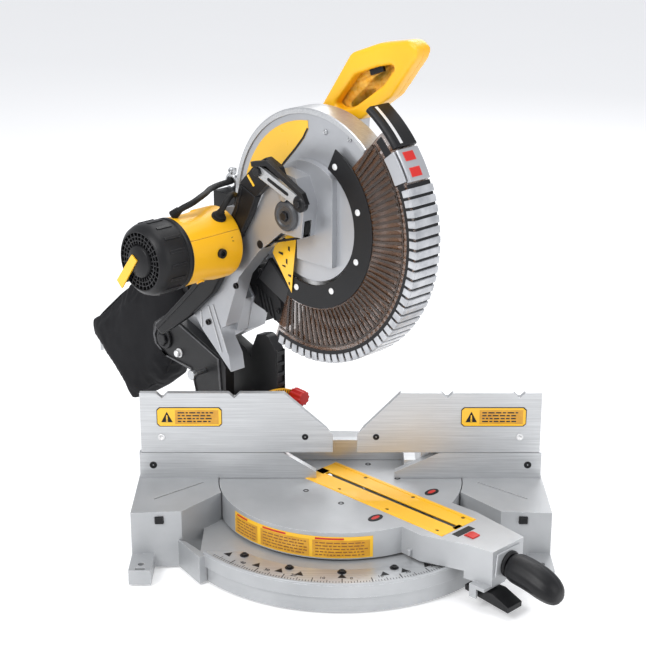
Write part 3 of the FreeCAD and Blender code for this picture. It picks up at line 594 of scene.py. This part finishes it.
def motor():
    shell = Shape()
    outer = [(-171.5, 46.5), (-171.5, 50.6), (-169, 51.2), (-160, 50.2), (-122, 50.2), (-108, 52.6),
             (-84, 52.8), (-80.4, 51.4), (-80.4, 46.5)]
    for first in (31.3, 211.3):
        shell.lathe("x", MOTOR, outer, 40, first, first + 179.4)
    make("motor_shell", shell, "head", "yellow_plastic", bevel=0.6, replaces=("motor_housing",),
         rough_angle=40)
    pads, screws, rings = Shape(), Shape(), Shape()
    for x, turn, radius in ((-112, 110, 4), (-136, 205, 4), (-98, 18, 4), (-98, 250, 4), (-140, 300, 4)):
        out = round_motor(turn)[1]
        centre = Vector((x, *MOTOR)) + out * 50.6
        upright_rod(pads, centre - out * 2, out, radius + 2, 3.6)
        upright_rod(screws, centre + out * 0.8, out, radius - 0.2, 1.2)
    make("motor_screw_pads", pads, "head", "yellow_plastic", bevel=0.5)
    out = round_motor(60)[1]
    centre = Vector((-103, *MOTOR)) + out * 50
    upright_rod(rings, centre, out, 11, 4)
    upright_rod(rings, centre + out * 3, out, 8.5, 4.5)
    for row in range(3):
        upright_rod(rings, centre + out * (7 + 2.6 * row), out, 6.6 - 0.6 * row, 1.7)
    make("cable_grommet", rings, "head", "rubber", bevel=0.6)
    make("motor_screws", screws, "head", "black_iron", bevel=0.2)
    caps = Shape()
    for low, high in ((MOTOR[0] - 49.8, MOTOR[0] - 55.4), (MOTOR[0] + 49.8, MOTOR[0] + 55.4)):
        caps.socket_screw("y", (-121, MOTOR[1]), 7, low, high)
    make("motor_brush_caps", caps, "head", "black_plastic", bevel=0.4, replaces=("brush_caps",))

    cap = Shape().lathe("x", MOTOR, [(-172, 46), (-172, 52), (-177, 52), (-178, 50), (-182, 50), (-183, 52),
                                     (-214, 52), (-222, 49), (-228, 43), (-228, 41), (-221, 40), (-221, 25),
                                     (-228, 24), (-231, 22), (-234, 14), (-234, 0), (-219.2, 0),
                                     (-219.2, 38), (-212, 46)], 72)
    make("motor_end_cap", cap, "head", "black_plastic", bevel=0.5, replaces=("motor_cap",), rough_angle=26)
    vanes = Shape()
    for step in range(30):
        radial_bar(vanes, 12 * step, 24.5, 40.5, 0.9, -227.4, -220)
    for radius in (29, 34.5):
        vanes.lathe("x", MOTOR, [(-227.8, radius), (-227.8, radius + 1.6), (-222, radius + 1.6),
                                 (-222, radius)], 60)
    for step in range(16):
        radial_bar(vanes, 22.5 * step, 51, 53.2, 2.4, -212, -186)
    make("motor_cap_vanes", vanes, "head", "black_plastic", bevel=0.4)
    plate = Shape().prism("x", [(214, 405), (178, 450), (167, 443), (203, 395)], -236.4, -233.4)
    make("motor_cap_plate", plate, "head", "yellow_plastic", "label_yellow", bevel=0.6)
    stem = Shape().prism("x", [(206, 408), (178, 442), (172, 437), (198, 404)], -233.6, -224)
    make("motor_cap_plate_seat", stem, "head", "black_plastic", bevel=0.3)


# ---------------------------------------------------------------- handle

def merged_copy(name, nodes):
    """One mesh object holding copies of some CAD nodes, with their split corners welded."""
    bm = bmesh.new()
    for node in nodes:
        bm.from_mesh(frame["nodes"][node].data)
    bmesh.ops.remove_doubles(bm, verts=bm.verts, dist=1e-5)
    mesh = bpy.data.meshes.new(name)
    bm.to_mesh(mesh)
    bm.free()
    return placed(name, mesh)


def evaluated(piece):
    """Replace a piece's mesh by what its modifiers make, and drop them."""
    graph = bpy.context.evaluated_depsgraph_get()
    mesh = bpy.data.meshes.new_from_object(piece.evaluated_get(graph))
    piece.modifiers.clear()
    piece.data = mesh
    return piece


def softened(piece, voxel, rounds, factor=0.5):
    """Rebuild a piece's mesh in small even faces, and smooth it."""
    remesh = piece.modifiers.new("remesh", "REMESH")
    remesh.mode = "VOXEL"
    remesh.voxel_size = voxel * MM
    soften = piece.modifiers.new("soften", "SMOOTH")
    soften.factor = factor
    soften.iterations = rounds
    return evaluated(piece)


def handle():
    """Both shells of the D handle, rounded all over, with the parting line left open between them."""
    normal = SWING.to_3x3() @ Vector((1, 0, 0))
    seam = SWING @ (Vector((HANDLE_SEAM, 0, 0)) * MM)
    for name, node, side in (("handle_shell_right", "handle_right", 1),
                             ("handle_shell_left", "handle_left", -1)):
        piece = softened(merged_copy(name, ("handle_left", "handle_right")), 2.6, 14, 0.6)
        bm = bmesh.new()
        bm.from_mesh(piece.data)
        cut = seam + normal * side * SEAM_GAP * MM
        bmesh.ops.bisect_plane(bm, geom=bm.verts[:] + bm.edges[:] + bm.faces[:], plane_co=cut,
                               plane_no=normal, clear_outer=side < 0, clear_inner=side > 0)
        edges = [edge for edge in bm.edges if edge.is_boundary]
        bmesh.ops.holes_fill(bm, edges=edges, sides=0)
        for face in bm.faces:
            face.smooth = True
        bm.to_mesh(piece.data)
        bm.free()
        round_edges(piece, 0.6, 60)
        carry(piece, "head", "yellow_plastic", replaces=(node,))


# ---------------------------------------------------------------- dust bag

def bag_cloth():
    """The CAD bag shrunk, blown up as cloth and then creased."""
    piece = merged_copy("dust_bag_cloth", ("dust_bag",))
    middle = SWING @ (Vector(BAG_MIDDLE) * MM)
    for vertex in piece.data.vertices:
        vertex.co = middle + (vertex.co - middle) * BAG_SHRINK
    softened(piece, 6, 2)
    rest = np.array([v.co for v in piece.data.vertices])
    cloth = piece.modifiers.new("cloth", "CLOTH")
    cloth.settings.use_pressure = True
    cloth.settings.uniform_pressure_force = 3.2
    cloth.settings.effector_weights.gravity = 0
    cloth.settings.tension_stiffness = 12
    cloth.settings.bending_stiffness = 0.6
    scene = bpy.context.scene
    for number in range(1, 17):
        scene.frame_set(number)
    evaluated(piece)
    scene.frame_set(1)
    now = np.array([v.co for v in piece.data.vertices])
    step = now - rest
    length = np.linalg.norm(step, axis=1, keepdims=True)
    now = rest + step * np.minimum(1, SWELL_LIMIT * MM / np.maximum(length, 1e-9))
    mesh = piece.data
    axis_x = SWING.to_3x3() @ Vector((1, 0, 0))
    for vertex, place in zip(mesh.vertices, now):
        local = SWING.inverted() @ (Vector(place) / MM)
        dents = noise.fractal(Vector((0, local.y, local.z)) * 0.014, 0.9, 2.1, 3)
        folds = math.sin((local.y * 0.8 + local.z * 0.55) * 0.045 + 2 * dents)
        side = 1 if local.x > BAG_MIDDLE[0] else -1
        sag = -1.0 * dents * 3.2 - 1.3 * folds
        vertex.co = Vector(place) + axis_x * side * sag * MM
    for face in mesh.polygons:
        face.use_smooth = True
    piece.modifiers.new("fine", "SUBSURF").levels = 1
    piece.modifiers["fine"].render_levels = 1
    carry(piece, "head", "bag_fabric", replaces=("dust_bag",))


def bag_piping():
    """The sewn cord round each side of the bag, rounded at the bag's corners."""
    outline = [(397, 303), (397, 193), (437, 116), (527, 56), (631, 152), (637, 176), (523, 272), (440, 303)]
    for name, x in (("dust_bag_piping_near", 30), ("dust_bag_piping_far", 72)):
        route = []
        for (y0, z0), (y1, z1) in zip(outline, outline[1:] + outline[:1]):
            for share in (0.18, 0.5, 0.82):
                y, z = y0 * (1 - share) + y1 * share, z0 * (1 - share) + z1 * share
                route.append((x, BAG_MIDDLE[1] + (y - BAG_MIDDLE[1]) * PIPING_SHRINK,
                              BAG_MIDDLE[2] + (z - BAG_MIDDLE[2]) * PIPING_SHRINK))
        carry(tube(name, route, PIPING_RADIUS, 3, 12, closed=True), "head", "bag_fabric")


def bag_fittings():
    pull = Shape().box((49.5, 640, 128), (52.5, 643, 152)).box((48.5, 639.5, 112), (53.5, 643.5, 129))
    make("dust_bag_zip_pull", pull, "head", "steel", bevel=0.5)
    collar = Shape().lathe("y", (58.5, 290), [(386, 14.4), (386, 20.5), (397, 21.5), (400, 18), (400, 14.4)],
                           40)
    for turn in (70, 110, 250, 290):
        spin = math.radians(turn)
        upright_rod(collar, Vector((58.5 - 19 * math.cos(spin), 391, 290 + 19 * math.sin(spin))),
                    (-math.cos(spin), 0, math.sin(spin)), 3, 3.2)
    make("dust_bag_collar", collar, "head", "black_plastic", bevel=0.5)


# ---------------------------------------------------------------- cables held by the head

def cable_run(name, route, replaces=()):
    carry(tube(name, route, CABLE_RADIUS, 6, 10), "head", "rubber", replaces=replaces)


def cables():
    cable_run("power_cable_run", [(31, 96, 616), (28.5, 116, 621), (24, 147, 609), (22, 186, 572),
                                  (24, 216, 536), (32, 240, 508), (16, 244, 499), (-16, 241, 499),
                                  (-52, 222, 502), (-90, 184, 511), (-120, 164, 513), (-142, 156, 510),
                                  (-158, 164, 503), (-163, 173, 493.5)], ("power_cable",))
    cable_run("switch_lead_run", [(-103, 139.6, 492.6), (-102, 130, 509), (-88, 133, 517), (-70, 148, 512),
                                  (-56, 157, 503), (-52, 158, 496)])
    sleeve = Shape()
    for first, last, wide, thin in (((24, 216, 538), (31, 238, 510), 8.2, 5.2),
                                    ((-163, 173.4, 493), (-158, 165, 502), 7.5, 5.2),
                                    ((-52, 158, 489.6), (-55, 157, 501), 7, 5)):
        run = Vector(last) - Vector(first)
        for row in range(5):
            foot = Vector(first) + run * row / 5
            upright_rod(sleeve, foot, run, thin + (wide - thin) * (1 - row / 5), run.length / 5 * 0.84, 20)
    make("cable_sleeves", sleeve, "head", "rubber", bevel=0.4)
    clamp = Shape().lathe("x", (244, 499), [(9, 8.6), (9, 11.4), (11, 12.6), (18, 12.6), (20, 11.4),
                                            (20, 8.6)], 40)
    clamp.box((11, 240, 484), (18, 248, 488)).socket_screw("x", (244, 515), 4.2, 17, 8)
    clamp.box((10.6, 239.5, 509), (18.4, 248.5, 519))
    make("cable_clamp_band", clamp, "head", "steel", bevel=0.7, replaces=("cable_clamp",))


# ---------------------------------------------------------------- fences

def fences():
    for side, body, name, first in ((-1, "left_fence", "left", -269.5), (1, "right_fence", "right", 178)):
        low, high, bottom, top = first, first + 94, 174.6, 202.8
        corner = 4
        outline = [(low + corner, bottom), (high - corner, bottom), (high, bottom + corner),
                   (high, top - corner), (high - corner, top), (low + corner, top), (low, top - corner),
                   (low, bottom + corner)]
        edge = [(a + (1.1 if a > low + 47 else -1.1), b + (1.1 if b > 188 else -1.1)) for a, b in outline]
        make(f"{name}_label_edge", Shape().prism("y", edge, -0.5, 0.1), body, "black_plastic", swings=False,
             bevel=0)
        make(f"{name}_label", Shape().prism("y", outline, -0.8, 0), body, "yellow_plastic", "label_yellow",
             swings=False, bevel=0)
        panel = Shape().box((low + 26, -1.0, bottom + 3), (high - 4, -0.6, top - 3))
        make(f"{name}_label_panel", panel, body, "yellow_plastic", "label_orange", swings=False, bevel=0)
        ink = Shape()
        middle = low + 14
        ink.prism("y", [(middle - 8.5, bottom + 6), (middle + 8.5, bottom + 6), (middle, top - 5.5)], -1.0,
                  -0.7)
        for row in range(4):
            across = low + 30
            while across < high - 14:
                length = 3 + 7 * random.random()
                ink.box((across, -1.15, bottom + 6.2 + 4.6 * row), (min(across + length, high - 8), -0.9,
                                                                    bottom + 8.2 + 4.6 * row))
                across += length + 2
        make(f"{name}_label_ink", ink, body, "black_plastic", swings=False, bevel=0)
        mark = Shape().prism("y", [(middle - 1.3, bottom + 10), (middle + 1.3, bottom + 10),
                                   (middle + 0.8, top - 11), (middle - 0.8, top - 11)], -1.15, -0.95)
        mark.box((middle - 1.3, -1.15, bottom + 7), (middle + 1.3, -0.95, bottom + 9))
        make(f"{name}_label_mark", mark, body, "yellow_plastic", "label_yellow", swings=False, bevel=0)
        screws, hole = Shape(), Shape()
        screws.socket_screw("y", (side * 264.4, 156.6), 5.2, 0.4, -1.6)
        make(f"{name}_fence_screw", screws, body, "steel", "rivet_white", swings=False, bevel=0)
        # A black ring where the fence's hole is: painted shade for the hole's dark inside.
        hole.lathe("y", (side * 52.4, 156.6), [(0.2, 1), (-0.5, 1), (-0.5, 4.8), (0.2, 4.8)], 24)
        make(f"{name}_fence_hole_shadow", hole, body, "black_plastic", swings=False, bevel=0)
        ribs = Shape()
        for k in range(5):
            across = side * (112 + 40 * k)
            ribs.box((across - 2.5, 9.6, 152), (across + 2.5, 12.2, 216))
        span = sorted((side * 100, side * 286))
        ribs.box((span[0], 9.6, 214), (span[1], 12, 219))
        make(f"{name}_fence_ribs", ribs, body, "machined_aluminium", "cast_aluminium", swings=False,
             bevel=0.9)
    # Black discs at the fences' lower holes and black blocks at the base's square front holes: painted shade for the
    # holes' dark insides.
    details = Shape()
    for side in SIDES:
        details.lathe("y", (side * 278, 111.4), [(0.3, 1), (-0.5, 1), (-0.5, 5.6), (0.3, 5.6)], 24)
        details.box((side * 259.5 - 6, -117.8, 72.4), (side * 259.5 + 6, -112, 82.6))
    make("fence_and_base_hole_shadows", details, "base", "black_iron", "black_plastic", swings=False, bevel=0.2)


# ---------------------------------------------------------------- scale, table, kerf plate

def arc_place(radius, degrees):
    turn = math.radians(degrees)
    return Vector((radius * math.sin(turn), -radius * math.cos(turn)))


def flat_bar(shape, radius_in, radius_out, degrees, width, low, high):
    """A radial bar lying on the scale at an angle from straight ahead."""
    inner, outer = arc_place(radius_in, degrees), arc_place(radius_out, degrees)
    side = arc_place(width / 2, degrees + 90)
    shape.prism("z", [tuple(inner - side), tuple(inner + side), tuple(outer + side), tuple(outer - side)],
                low, high)


def scale():
    rim = Shape().lathe("z", (0, 0), [(44.9, 244.6), (47.6, 245.2), (48.4, 246.2), (48.4, 248.6), (47.4, 250),
                                      (44.9, 250)], 64, 218.5, 321.5)
    make("arc_rim", rim, "base", "cast_aluminium", swings=False, bevel=0.5)
    ticks, wedges = Shape(), Shape()
    for degrees in range(-48, 49):
        long = degrees % 10 == 0
        start = 231 if long else (235 if degrees % 5 == 0 else 238.5)
        flat_bar(ticks, start, 243, degrees, 1.3 if long else 0.8, 46.1, 46.45)
    for degrees in (-45, -31.6, -22.5, -15, 0, 15, 22.5, 31.6, 45):
        tip, left, right = arc_place(217.5, degrees), arc_place(228.5, degrees - 1.5), arc_place(228.5, degrees + 1.5)
        wedges.prism("z", [tuple(tip), tuple(left), tuple(right)], 46.1, 46.6)
    make("scale_ticks", ticks, "base", "black_plastic", swings=False, bevel=0)
    make("scale_wedges", wedges, "base", "black_plastic", swings=False, bevel=0)
    bm = bmesh.new()
    for value in range(-40, 41, 10):
        text = bpy.data.curves.new("number", "FONT")
        text.body = str(abs(value))
        text.size = 0.0085
        text.extrude = 0.0002
        text.align_x = "CENTER"
        holder = placed("number", text)
        spot_at = arc_place(232.5, value + 3.2)
        turn = Matrix.Rotation(math.radians(value), 4, "Z")
        holder.matrix_world = Matrix.Translation((spot_at.x * MM, spot_at.y * MM, 0.0463)) @ turn
        bpy.context.view_layer.update()
        graph = bpy.context.evaluated_depsgraph_get()
        mesh = bpy.data.meshes.new_from_object(holder.evaluated_get(graph))
        mesh.transform(holder.matrix_world)
        bm.from_mesh(mesh)
        bpy.data.objects.remove(holder)
    mesh = bpy.data.meshes.new("scale_numbers")
    bm.to_mesh(mesh)
    bm.free()
    carry(placed("scale_numbers", mesh), "base", "black_plastic")
    washers, heads = Shape(), Shape()
    for degrees in (-40, -20, 0, 20, 40):
        place = tuple(arc_place(212, degrees))
        washers.lathe("z", place, [(46.1, 3), (46.1, 6.4), (47.0, 6.4), (47.0, 3)], 28)
        heads.socket_screw("z", place, 4.4, 46.5, 49.4)
    make("scale_washers", washers, "base", "black_iron", swings=False, bevel=0.2)
    make("scale_screw_heads", heads, "base", "black_iron", swings=False, bevel=0)


def drum_arc(shape, first, last, low, high, inner, outer):
    """A band on the drum between two angles from straight ahead."""
    profile = [(low, inner), (high, inner), (high, outer), (low, outer)]
    shape.lathe("z", (0, 0), profile, max(2, int((last - first) / 2)), 270 - last, 270 - first)


def table():
    band, panels, red, ink = Shape(), Shape(), Shape(), Shape()
    drum_arc(band, -57.5, 14, 51, 83.5, 179.6, 180.5)
    for first, last in ((-56.6, -41.2), (-39.2, -14.6), (-13.1, 12.6)):
        drum_arc(panels, first, last, 52.6, 78, 180.3, 180.8)
        drum_arc(red, first + 1.2, first + 1.2 + 0.5 * (last - first), 79.2, 81.8, 180.3, 180.9)
        for row in range(5):
            turn = first + 1.4
            while turn < last - 2.4:
                wide = 0.7 + 2.2 * random.random()
                drum_arc(ink, turn, min(turn + wide, last - 1), 55 + 4.6 * row, 56.5 + 4.6 * row, 180.6,
                         181.0)
                turn += wide + 0.6
    make("drum_label", band, "table", "yellow_plastic", "label_yellow", swings=False, bevel=0)
    make("drum_label_panels", panels, "table", "yellow_plastic", "label_orange", swings=False, bevel=0)
    make("drum_label_bars", red, "table", "red_plastic", swings=False, bevel=0)
    make("drum_label_ink", ink, "table", "yellow_plastic", "ink_brown", swings=False, bevel=0)
    badges, hearts = Shape(), Shape()
    for side in SIDES:
        centre = (side * 60, -128)
        badges.loft([oval(centre, 12.5 + grow, 7.5 + grow, z) for z,
                     grow in ((89.6, 0.6), (90.5, 0), (90.5, -3))])
        hearts.loft([oval(centre, 8.2 + grow, 3.8 + grow, z) for z, grow in ((90.3, 0), (91.0, -0.8))])
    make("table_badges", badges, "table", "black_plastic", bevel=0)
    make("table_badge_hearts", hearts, "table", "red_plastic", bevel=0)
    screws = Shape()
    for x, y in ((-66, 6), (66, 6), (-60, -60), (60, -60), (-48, 60), (48, 60)):
        screws.socket_screw("z", (x, y), 4.5, 89.4, 90.2)
    make("table_screws", screws, "table", "black_iron", bevel=0)
    window = Shape().box((-22, -249, 89.2), (14, -237, 90.1))
    make("pointer_window", window, "table", "black_plastic", bevel=0.3)
    pointer = Shape().prism("x", [(-268, 89.5), (-268, 91.6), (-256, 92.6), (-251, 90.6), (-250, 89.5)], -13,
                            2)
    make("miter_pointer", pointer, "table", "red_plastic", bevel=0.6)
    plate = Shape()
    for side in SIDES:
        across = sorted((side * 3.9, side * 7.8))
        plate.box((across[0], -225, 88.7), (across[1], 29, 90.0))
        across = sorted((side * 30.5, side * 37))
        plate.prism("y", [(side * 30.5, 89.8), (side * 30.5, 90.9), (side * 35.8, 90.9), (side * 37, 89.8)],
                    -231.5, 44.5)
    plate.box((-7.8, -232, 88.7), (7.8, -224.6, 90.0)).box((-7.8, 28.6, 88.7), (7.8, 45, 90.0))
    make("kerf_inserts", plate, "table", "yellow_plastic", bevel=0.3)
    ribs = Shape()
    for x, y in ((-46, -150), (-50, -190), (50, -160)):
        ribs.box((x - 9, y - 3, 52), (x + 9, y + 3, 62))
    ribs.prism("y", [(-20, 49.5), (38, 49.5), (34, 84), (-16, 84)], -314.6, -311.5)
    make("arm_end_pad", ribs, "table", "cast_aluminium", bevel=2.0)
    collar = Shape().lathe("y", (9, 62), [(-312, 5), (-312, 17), (-315, 19), (-318, 19), (-320, 17),
                                          (-320, 5)], 36)
    make("miter_knob_collar", collar, "table", "black_plastic", bevel=0.6)


def miter_knob():
    sections = [(-319, 60, 15, 15), (-323, 60, 22, 20), (-336, 59.5, 24, 21), (-352, 58, 23.5, 21),
                (-368, 54.5, 24, 21), (-382, 50.5, 23, 20), (-393, 47, 20, 17), (-400, 44, 15, 12.5),
                (-403, 43, 8, 7)]
    rings = []
    for y, z, wide, tall in sections:
        ring = []
        for k in range(40):
            turn = 2 * math.pi * k / 40
            groove = 1 - 0.045 * max(0, math.cos(5 * turn)) ** 3
            ring.append((9 + wide * groove * math.cos(turn), y, z + tall * groove * math.sin(turn)))
        rings.append(ring)
    knob = make("miter_knob_grip", Shape().loft(rings), "miter_knob", "black_plastic", bevel=0,
                replaces=("miter_knob",))
    knob.modifiers.remove(knob.modifiers["shade"])
    smooth = knob.modifiers.new("smooth", "SUBSURF")
    smooth.levels = smooth.render_levels = 2
    stem = Shape().rod("y", (9, 62), 5, -268, -322)
    make("miter_knob_stem", stem, "miter_knob", "steel", bevel=0)


# ---------------------------------------------------------------- bevel side

def support():
    ear = [(213, 66), (282, 66), (282, 160), (292, 193), (354, 201), (380, 216), (384, 232), (376, 252),
           (357, 265), (323, 265), (226, 229)]
    rims = Shape()
    for x_low, x_high in ((-38.2, -35.8), (35.8, 38.0)):
        middle = (300, 220)
        inner = []
        for y, z in ear:
            reach = math.hypot(y - middle[0], z - middle[1])
            inner.append((y + (middle[0] - y) / reach * 4, z + (middle[1] - z) / reach * 4))
        for k in range(len(ear)):
            after = (k + 1) % len(ear)
            rims.prism("x", [ear[k], ear[after], inner[after], inner[k]], x_low, x_high)
    # The ear rims are drawn in a lighter iron: painted highlights along the ear's edges.
    make("support_ear_rims", rims, "support", "black_iron", "rim_highlight_iron", bevel=0.6)
    bolts = Shape()
    bolts.hexagon("x", (251.5, 150), 8, -35.8, -42).rod("x", (251.5, 150), 11, -35.8, -37.6)
    bolts.hexagon("x", (251.5, 96), 8, -35.8, -42).rod("x", (251.5, 96), 11, -35.8, -37.6)
    make("support_bolts", bolts, "support", "black_iron", bevel=0.3)
    pin = Shape().rod("x", (322, 214), 5.5, -35.6, -44, 1.2).rod("x", (322, 214), 7.6, -35.6, -38)
    make("support_silver_pin", pin, "support", "steel", "rivet_white", bevel=0.2)
    pivot = Shape()
    for sign in SIDES:
        pivot.lathe("x", CHOP_PIN, [(sign * 36.1, 0), (sign * 36.1, 16), (sign * 38, 17), (sign * 40.5, 16),
                                      (sign * 40.5, 12.5), (sign * 39, 12), (sign * 39, 0)], 40)
        pivot.hexagon("x", CHOP_PIN, 10, sign * 38.8, sign * 45)
    pivot.rod("x", CHOP_PIN, 8.95, -38, 38)
    make("chop_pin_bolt", pivot, "support", "black_iron", bevel=0.3, replaces=("chop_pin",))
    ribs = Shape()
    for row in range(4):
        ribs.box((20, 155.4, 186 + 17 * row), (34.5, 158.4, 192 + 17 * row))
    ribs.box((18.6, 155, 176), (20.6, 158.4, 246)).box((34, 155, 176), (36, 158.4, 246))
    make("support_hood_ribs", ribs, "support", "black_iron", bevel=0.6)
    knob = Shape()
    rings = []
    for along, radius in ((121, 9), (122.5, 11.4), (140, 12.2), (144.6, 11.4), (145, 9)):
        rings.append([(44 + radius * (1 + 0.07 * math.cos(10 * a)) * math.cos(a), along,
                       170 + radius * (1 + 0.07 * math.cos(10 * a)) * math.sin(a))
                      for a in [2 * math.pi * k / 80 for k in range(80)]])
    knob.loft(rings).rod("y", (44, 170), 4, 144, 147.6)
    make("bevel_stop_knob", knob, "bevel_stop_pin", "red_plastic", bevel=0, replaces=("bevel_stop_pin",))
    ticks = Shape()
    for degrees in range(-48, 49, 3):
        turn = math.radians(degrees)
        inner, outer = (86 if degrees % 15 == 0 else 90), 96.5
        side = Vector((math.cos(turn), -math.sin(turn))) * (0.9 if degrees % 15 == 0 else 0.6)
        out = Vector((math.sin(turn), math.cos(turn)))
        corners = [out * inner - side, out * inner + side, out * outer + side, out * outer - side]
        ticks.prism("y", [(c.x, 90 + c.y) for c in corners], 147.6, 148.2)
    for x in (-60, -30, 30, 62):
        ticks.rod("y", (x, 90 + math.sqrt(80 ** 2 - x ** 2)), 2.6, 148, 147, 0.2, 16)
    make("bevel_scale_ticks", ticks, "table", "black_plastic", bevel=0)
    lever = Shape().lathe("y", (0, 90), [(304.5, 0), (304.5, 19), (312, 19), (318, 14), (318, 0)], 40)
    lever.loft([[(x * w, y, z) for x, y in ((-8, 307), (8, 307), (8, 315), (-8, 315))] for z,
                w in ((88, 1), (52, 0.8), (34, 1))])
    lever.lathe("y", (0, 30), [(304, 0), (304, 9), (307, 12), (322, 12), (326, 8), (326, 0)], 32)
    make("bevel_lock_lever", lever, "bevel_lever", "black_plastic", bevel=0.8, replaces=("bevel_lever",))


# ---------------------------------------------------------------- arm side

def arm():
    ridges = Shape()
    for first, last in (((232, 314), (230, 288)), ((214, 326), (186, 258)), ((204, 330), (174, 262)),
                        ((240, 330), (222, 380)), ((78, 545), (104, 500)), ((200, 455), (208, 392))):
        run = Vector(last) - Vector(first)
        side = Vector((-run.y, run.x)).normalized() * 1.5
        ridges.prism("x", [tuple(Vector(first) - side), tuple(Vector(first) + side),
                           tuple(Vector(last) + side), tuple(Vector(last) - side)], -67.3, -65.8)
    make("arm_ridges", ridges, "head", "guard_silver", "machined_aluminium", bevel=0.8)
    holes = Shape()
    for place in ((60, 492), (98, 446)):
        holes.lathe("x", place, [(-65.8, 0), (-65.8, 6.2), (-66.5, 6.2), (-66.5, 4.6), (-66.2, 4.4),
                                 (-66.2, 0)], 28)
    for place in ((150, 372), (214, 300)):
        holes.socket_screw("x", place, 4.6, -65.8, -69.5)
    make("arm_plugs", holes, "head", "black_plastic", bevel=0)
    strip = [(126, 534), (138, 497), (166, 445), (196, 402), (236, 356), (282, 312), (330, 268), (312, 258),
             (246, 304), (192, 352), (160, 400), (138, 440), (108, 486), (92, 520)]
    make("arm_cover_strip", Shape().prism("x", strip, -79.4, -66.1), "head", "black_plastic", bevel=2.6,
         replaces=("arm_cover",))
    lines = Shape()
    inset = [(y - 5, z - 3) for y, z in strip[:7]]
    for first, last in zip(inset, inset[1:]):
        stripe_between(lines, first, last, (-2.5, -1.6), -80.4, -79)
    make("arm_cover_line", lines, "head", "black_plastic", bevel=0.4)
    bracket = Shape().prism("x", [(126, 534), (92, 568), (71, 580), (46, 570), (40, 556), (64, 547),
                                  (92, 520)], -79, -66.1)
    make("link_bracket_body", bracket, "head", "black_plastic", bevel=1.6, replaces=("link_bracket",))
    slots = Shape()
    for base in ((100, 545), (84, 558)):
        slots.prism("x", [(base[0] - 7, base[1] - 9), (base[0] - 4, base[1] - 11), (base[0] + 9, base[1] + 3),
                          (base[0] + 6, base[1] + 5)], -80, -78.6)
    make("link_bracket_slots", slots, "head", "yellow_plastic", "label_yellow", bevel=0.3)
    plate = Shape().prism("x", [(84, 470), (51, 469), (60, 402), (62.6, 375), (101.5, 427)], -38.4, -37.6)
    make("warning_triangle", plate, "head", "yellow_plastic", "label_yellow", bevel=0.2,
         replaces=("warning_plate",))
    marks = Shape()
    for y, z, tall, wide in ((78, 452, 5, 8), (67, 440, 7, 3.4), (84, 430, 4, 9), (72, 420, 8, 3),
                             (66, 400, 4, 6), (78, 412, 3, 7), (67, 388, 5, 3)):
        marks.prism("x", [(y - wide / 2, z - tall / 2), (y + wide / 2, z - tall / 2 + 1.5),
                          (y + wide / 2, z + tall / 2), (y - wide / 2, z + tall / 2)], -38.8, -38.3)
    make("warning_triangle_marks", marks, "head", "black_plastic", bevel=0)
    cap = Shape().lathe("x", (41, 500), [(-66.2, 0), (-66.2, 22), (-70, 22), (-72.6, 19.5), (-73, 15),
                                         (-71, 13), (-71, 8), (-70, 0)], 44)
    make("hub_cap_dish", cap, "head", "black_plastic", "grey_cap", bevel=0.5, replaces=("hub_cap",))
    make("hub_cap_bolt", Shape().hexagon("x", (41, 500), 7.5, -70, -75), "head", "black_iron", bevel=0.3)


def link():
    bar = Shape()
    top, end = Vector((78, 560)), Vector((-4, 529))
    along = (end - top).normalized()
    bar.prism("x", round_ended(top, end, 8, 8), -86, -80)
    make("guard_link_bar", bar, "guard_link", "steel", "machined_aluminium", bevel=0.8,
         replaces=("guard_link",))
    black = Shape().prism("x", round_ended(top + along * 22, end - along * 26, 2.6, 6), -86.4, -85.8)
    frame_line = [(92, 572), (60, 579), (-10, 545), (-18, 530), (-12, 528), (-6, 539), (60, 571), (90, 565)]
    black.prism("x", frame_line, -88, -79.8)
    black.lathe("x", (-4, 529), [(-80, 0), (-80, 11.5), (-87, 12), (-89.5, 9), (-89.5, 0)], 32)
    make("guard_link_frame", black, "guard_link", "black_plastic", bevel=0.7)
    bolts = Shape().hexagon("x", (78, 560), 7, -86, -91.6).hexagon("x", (-4, 529), 5, -89, -91.8)
    make("guard_link_bolts", bolts, "guard_link", "black_iron", bevel=0.3)


def dust_parts():
    body = [(184.6, 368), (158, 393), (108, 343), (104, 305), (140, 322), (168, 329), (165, 340)]
    make("dust_shroud", Shape().prism("x", body, -17, 9), "head", "rubber", "black_plastic", bevel=2.4,
         replaces=("dust_deflector",))
    flap = [(152, 374), (124.5, 411), (82, 371), (91, 344), (108, 352)]
    make("dust_flap", Shape().prism("x", flap, -20.5, -17.2), "head", "rubber", "grey_rubber", bevel=0.8)
    edges = Shape()
    for first, last in zip(flap, flap[1:4]):
        stripe_between(edges, first, last, (3, -3), -22, -20)
    for row in range(4):
        y, z = 146 - 9 * row, 326 - 4.2 * row
        edges.prism("x", [(y, z), (y + 3, z + 1.4), (y + 14, z + 33), (y + 11, z + 33)], -18.6, -16.8)
    make("dust_shroud_ribs", edges, "head", "rubber", "black_plastic", bevel=0.6)
    screws = Shape()
    for place in ((150, 384), (112, 330)):
        screws.socket_screw("x", place, 4, -17, -20.4)
    make("dust_shroud_screws", screws, "head", "black_iron", bevel=0)


# ---------------------------------------------------------------- the whole saw

camera_and_light()
dress_nodes()
floor()
blade()
lower_guard()
upper_guard()
motor()
handle()
bag_cloth()
bag_piping()
bag_fittings()
cables()
fences()
scale()
table()
miter_knob()
support()
arm()
link()
dust_parts()
